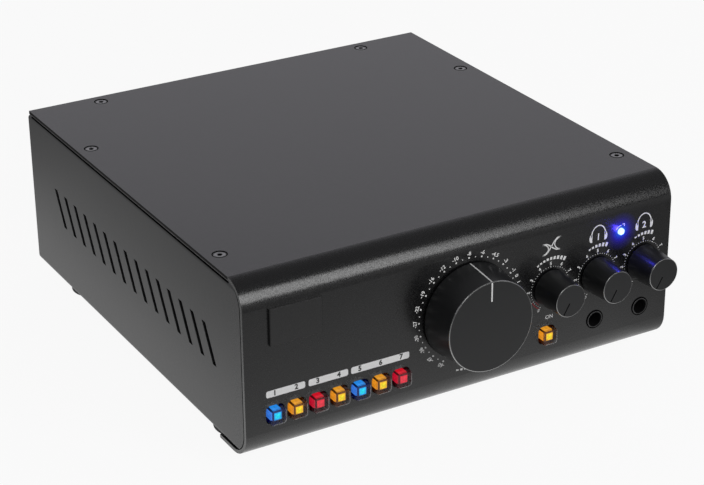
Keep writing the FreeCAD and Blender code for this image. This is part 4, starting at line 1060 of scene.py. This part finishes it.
# Strokes round the lamp as in RED_ARCS
LAMP_MARKS = ((2.55, 2.85, -62, 2), (3.2, 3.75, 14, 20), (3.2, 3.75, 25, 31), (2.7, 3.25, 34, 42))
LAMP_MARK_STEPS = 10
ON_RIGHT, ON_UP = 1.0 * MM, 8.3 * MM
ON_TEXT = (2.5 * MM, 0.03 * MM)


def draw_symbols(build):
    draw_crossing(build)
    for number in (1, 2):
        draw_headphones(build, KNOBS[number][0], number)
    lamp = (LAMP_FOOT[0], LAMP_FOOT[2])
    for inner, outer, start, end in LAMP_MARKS:
        add_prism(build, ring_band(lamp, inner * MM, outer * MM, start, end, LAMP_MARK_STEPS))
    on_spot = middle("on_button_cap")
    add_text(build, "ON", on_spot.x + ON_RIGHT, on_spot.z + ON_UP, ON_TEXT)


def draw_dial_mark(build):
    """The level mark under the volume dial."""
    level_mark(build, DIAL, DIAL_MARK_RADIUS, DIAL_MARK_BARS, DIAL_MARK_PITCH, turned=180.0)


# Label bars: left and right ends in millimetres from the case's left, and the buttons under each
LABELS = ((9.6, 27.4, (1, 2)), (29.0, 47.4, (3, 4)), (48.8, 76.6, (5, 6, 7)))
# Depths below the case's top in millimetres
LABEL_TOP = 48.9
LABEL_FOOT = 52.0
LABEL_CORNER = 0.8 * MM
LABEL_TEXT = (3.2 * MM, 0.13 * MM)


def draw_label_bars(build):
    for left, right, _ in LABELS:
        ends = (PANEL_LEFT + left * MM, PANEL_LEFT + right * MM)
        levels = (PANEL_TOP - LABEL_FOOT * MM, PANEL_TOP - LABEL_TOP * MM)
        add_prism(build, rounded_bar(*ends, *levels, LABEL_CORNER))


def draw_label_numbers(build):
    level = PANEL_TOP - (LABEL_TOP + LABEL_FOOT) / 2 * MM
    for _, _, numbers in LABELS:
        for number in numbers:
            x = middle("button_%d_cap" % number).x
            add_text(build, str(number), x, level, LABEL_TEXT, face_y=PANEL_Y - INK_OVER)


def make_prints():
    print_piece("volume_scale", draw_volume_scale)
    print_piece("volume_mark", draw_dial_mark)
    print_piece("small_scales", draw_small_scales)
    print_piece("symbols", draw_symbols)
    print_piece("crossing_red_arc", draw_red_arc, "red_ink")
    print_piece("label_bars", draw_label_bars, "label")
    print_piece("label_numbers", draw_label_numbers, "label_text")


# Stage, light and camera -----------------------------------------------------

WHITE = (1.0, 1.0, 1.0)
BACKDROP = (0.947, 0.947, 0.947)
FLOOR_SIZE = 8.0
FLOOR_DOWN = 0.0002
FLOOR_SHADE = (0.8, 0.8, 0.8)
# Share of the floor that shows as plain white; the rest takes the object's shadow
STAGE_SHARE = 0.925
# The floor in reflections: a bright plate under the object, and how bright it is past the
# plate's edge, as (metres, share); sideways it dims twice as fast
POOL_CENTRE = (-0.02, 0.05, 0.0)
POOL_HALF = (0.116, 0.165, 0.0)
POOL_REACH = (2.0, 1.0, 1.0)
POOL_STOPS = (
    (0.0, 0.97), (0.02, 0.66), (0.05, 0.56), (0.1, 0.44),
    (0.15, 0.30), (0.25, 0.22), (0.45, 0.34), (0.8, 0.45),
)
# The surroundings by height, as (sine of the angle over the horizon, colour)
SKY_STOPS = (
    (0.0, (0.60, 0.59, 0.63)),
    (0.34, (0.61, 0.60, 0.64)),
    (0.44, (0.69, 0.68, 0.725)),
    (0.50, (0.69, 0.68, 0.725)),
    (0.60, (0.23, 0.23, 0.24)),
    (0.75, (0.21, 0.21, 0.215)),
    (1.0, (0.20, 0.20, 0.205)),
)
# They are dim on the side of the camera, except high up
SKY_FRONT = ((0.0, 0.12), (0.25, 1.0))
SKY_FRONT_RISE = 0.9
SKY_THROUGH_GLASS = 0.6


def ray_share(shader, *shares):
    """Adds up (ray kind, share) pairs from the Light Path node, clamped to one."""
    rays = shader.node("ShaderNodeLightPath")
    total = None
    for kind, share in shares:
        part = shader.node("ShaderNodeMath", operation="MULTIPLY", use_clamp=True)
        shader.link(rays.outputs[kind], part.inputs[0])
        part.inputs[1].default_value = share
        if total is None:
            total = part.outputs["Value"]
            continue
        joined = shader.node("ShaderNodeMath", operation="ADD", use_clamp=True)
        shader.link(total, joined.inputs[0])
        shader.link(part.outputs["Value"], joined.inputs[1])
        total = joined.outputs["Value"]
    return total


def pool_of_light(stage):
    """How bright the floor looks in reflections: nearly white under the object, dimmer away from it."""
    centred = stage.vector_math("SUBTRACT", stage.coordinates.outputs["Object"], POOL_CENTRE)
    absolute = stage.vector_math("ABSOLUTE", centred["Vector"])
    past = stage.vector_math("SUBTRACT", absolute["Vector"], POOL_HALF)
    outside = stage.vector_math("MAXIMUM", past["Vector"], (0.0, 0.0, 0.0))
    reached = stage.vector_math("MULTIPLY", outside["Vector"], POOL_REACH)
    away = stage.vector_math("LENGTH", reached["Vector"])
    return stage.ramp(away["Value"], *POOL_STOPS)


def stage_material():
    """Pale floor that keeps the object's shadow and shows nearly white behind it."""
    stage = Shader("stage_pale")
    rays = stage.node("ShaderNodeLightPath")
    shown = stage.node("ShaderNodeMix", data_type="RGBA")
    stage.link(rays.outputs["Is Glossy Ray"], shown.inputs[MIX_SHARE])
    shown.inputs[MIX_FIRST].default_value = (*WHITE, 1.0)
    stage.link(pool_of_light(stage), shown.inputs[MIX_SECOND])
    shine = stage.node("ShaderNodeEmission")
    stage.link(shown.outputs[MIX_RESULT], shine.inputs["Color"])
    shine.inputs["Strength"].default_value = 1.0
    stage.set(Base_Color=(*FLOOR_SHADE, 1.0), Roughness=0.9)
    share = ray_share(
        stage,
        ("Is Camera Ray", STAGE_SHARE),
        ("Is Transmission Ray", STAGE_SHARE),
        ("Is Glossy Ray", 1.0),
    )
    blend = stage.node("ShaderNodeMixShader")
    stage.link(share, blend.inputs["Fac"])
    stage.link(stage.surface.outputs["BSDF"], blend.inputs[1])
    stage.link(shine.outputs["Emission"], blend.inputs[2])
    stage.link(blend.outputs["Shader"], stage.tree.nodes["Material Output"].inputs["Surface"])
    return stage.material


def make_stage():
    bpy.ops.mesh.primitive_plane_add(size=FLOOR_SIZE, location=(0, 0, -FLOOR_DOWN))
    floor = bpy.context.object
    floor.name = "floor"
    floor.data.materials.append(stage_material())


class Sky(Shader):
    """The world's node tree, used with the same helpers as a material."""

    def __init__(self, world):
        world.use_nodes = True
        self.tree = world.node_tree
        self.surface = self.tree.nodes["Background"]
        self.coordinates = self.tree.nodes.new("ShaderNodeTexCoord")


def make_sky():
    """White behind the object; a low pale backdrop and a dim ceiling light it."""
    world = bpy.data.worlds.new("studio")
    bpy.context.scene.world = world
    sky = Sky(world)
    towards = sky.node("ShaderNodeSeparateXYZ")
    sky.link(sky.coordinates.outputs["Generated"], towards.inputs["Vector"])
    behind = sky.node("ShaderNodeMath", operation="MULTIPLY_ADD")
    sky.link(towards.outputs["Z"], behind.inputs[0])
    behind.inputs[1].default_value = SKY_FRONT_RISE
    sky.link(towards.outputs["Y"], behind.inputs[2])
    dimmed = sky.ramp(behind.outputs["Value"], *SKY_FRONT)
    surround = sky.multiply(sky.ramp(towards.outputs["Z"], *SKY_STOPS), dimmed)
    white_share = ray_share(sky, ("Is Camera Ray", 1.0), ("Is Transmission Ray", SKY_THROUGH_GLASS))
    blend = sky.node("ShaderNodeMix", data_type="RGBA")
    sky.link(white_share, blend.inputs[MIX_SHARE])
    sky.link(surround, blend.inputs[MIX_FIRST])
    blend.inputs[MIX_SECOND].default_value = (*BACKDROP, 1.0)
    sky.link(blend.outputs[MIX_RESULT], sky.surface.inputs["Color"])
    sky.surface.inputs["Strength"].default_value = 1.0


# Place, what it faces, width and height in metres, and watts
KEY_SOFTBOX = ((0.52, -1.28, 0.70), (0.0, 0.0, 0.05), (0.5, 0.9), 6.4)
FILL_SOFTBOX = ((-0.25, -1.55, 0.75), (0.0, -0.1, 0.04), (1.15, 1.0), 7.6)
LAMP_LIGHT_WATTS = 0.003
LAMP_LIGHT_COLOUR = (0.06, 0.04, 1.0)
LAMP_LIGHT_RADIUS = 1.2 * MM
LAMP_LIGHT_OUT = 3.2 * MM


def add_softbox(name, place, target, size, power):
    lamp = bpy.data.lights.new(name, "AREA")
    lamp.shape = "RECTANGLE"
    lamp.size, lamp.size_y = size
    lamp.energy = power
    holder = bpy.data.objects.new(name, lamp)
    bpy.context.scene.collection.objects.link(holder)
    holder.location = place
    facing = Vector(target) - Vector(place)
    holder.rotation_euler = facing.to_track_quat("-Z", "Y").to_euler()


def make_lights():
    add_softbox("key_softbox", *KEY_SOFTBOX)
    add_softbox("fill_softbox", *FILL_SOFTBOX)


def add_lamp_light():
    """The little light that the lit lamp throws on the knobs beside it."""
    glow = bpy.data.lights.new("lamp_light", "POINT")
    glow.energy = LAMP_LIGHT_WATTS
    glow.color = LAMP_LIGHT_COLOUR
    glow.shadow_soft_size = LAMP_LIGHT_RADIUS
    holder = bpy.data.objects.new("lamp_light", glow)
    bpy.context.scene.collection.objects.link(holder)
    holder.location = (LAMP_FOOT[0], LAMP_FOOT[1] - LAMP_LIGHT_OUT, LAMP_FOOT[2])


def make_camera():
    lens = bpy.data.cameras.new("camera")
    lens.sensor_width = SENSOR_MM
    lens.lens = CAMERA_FOCUS_PX / PHOTO_WIDTH_PX * SENSOR_MM
    lens.clip_end = 20.0
    camera = bpy.data.objects.new("camera", lens)
    bpy.context.scene.collection.objects.link(camera)
    camera.location = CAMERA_PLACE
    aim = CAMERA_LOOK.to_track_quat("-Z", "Y").to_matrix().to_4x4()
    roll = Matrix.Rotation(CAMERA_ROLL, 4, "Z")
    camera.rotation_euler = (aim @ roll).to_euler()
    bpy.context.scene.camera = camera


dress_frame()
make_rims()
make_screw_heads()
make_jack_rings()
make_cover_edges()
make_vent_edges()
make_buttons()
make_prints()
make_stage()
make_sky()
make_lights()
add_lamp_light()
make_camera()
bpy.context.scene.view_settings.view_transform = "Standard"
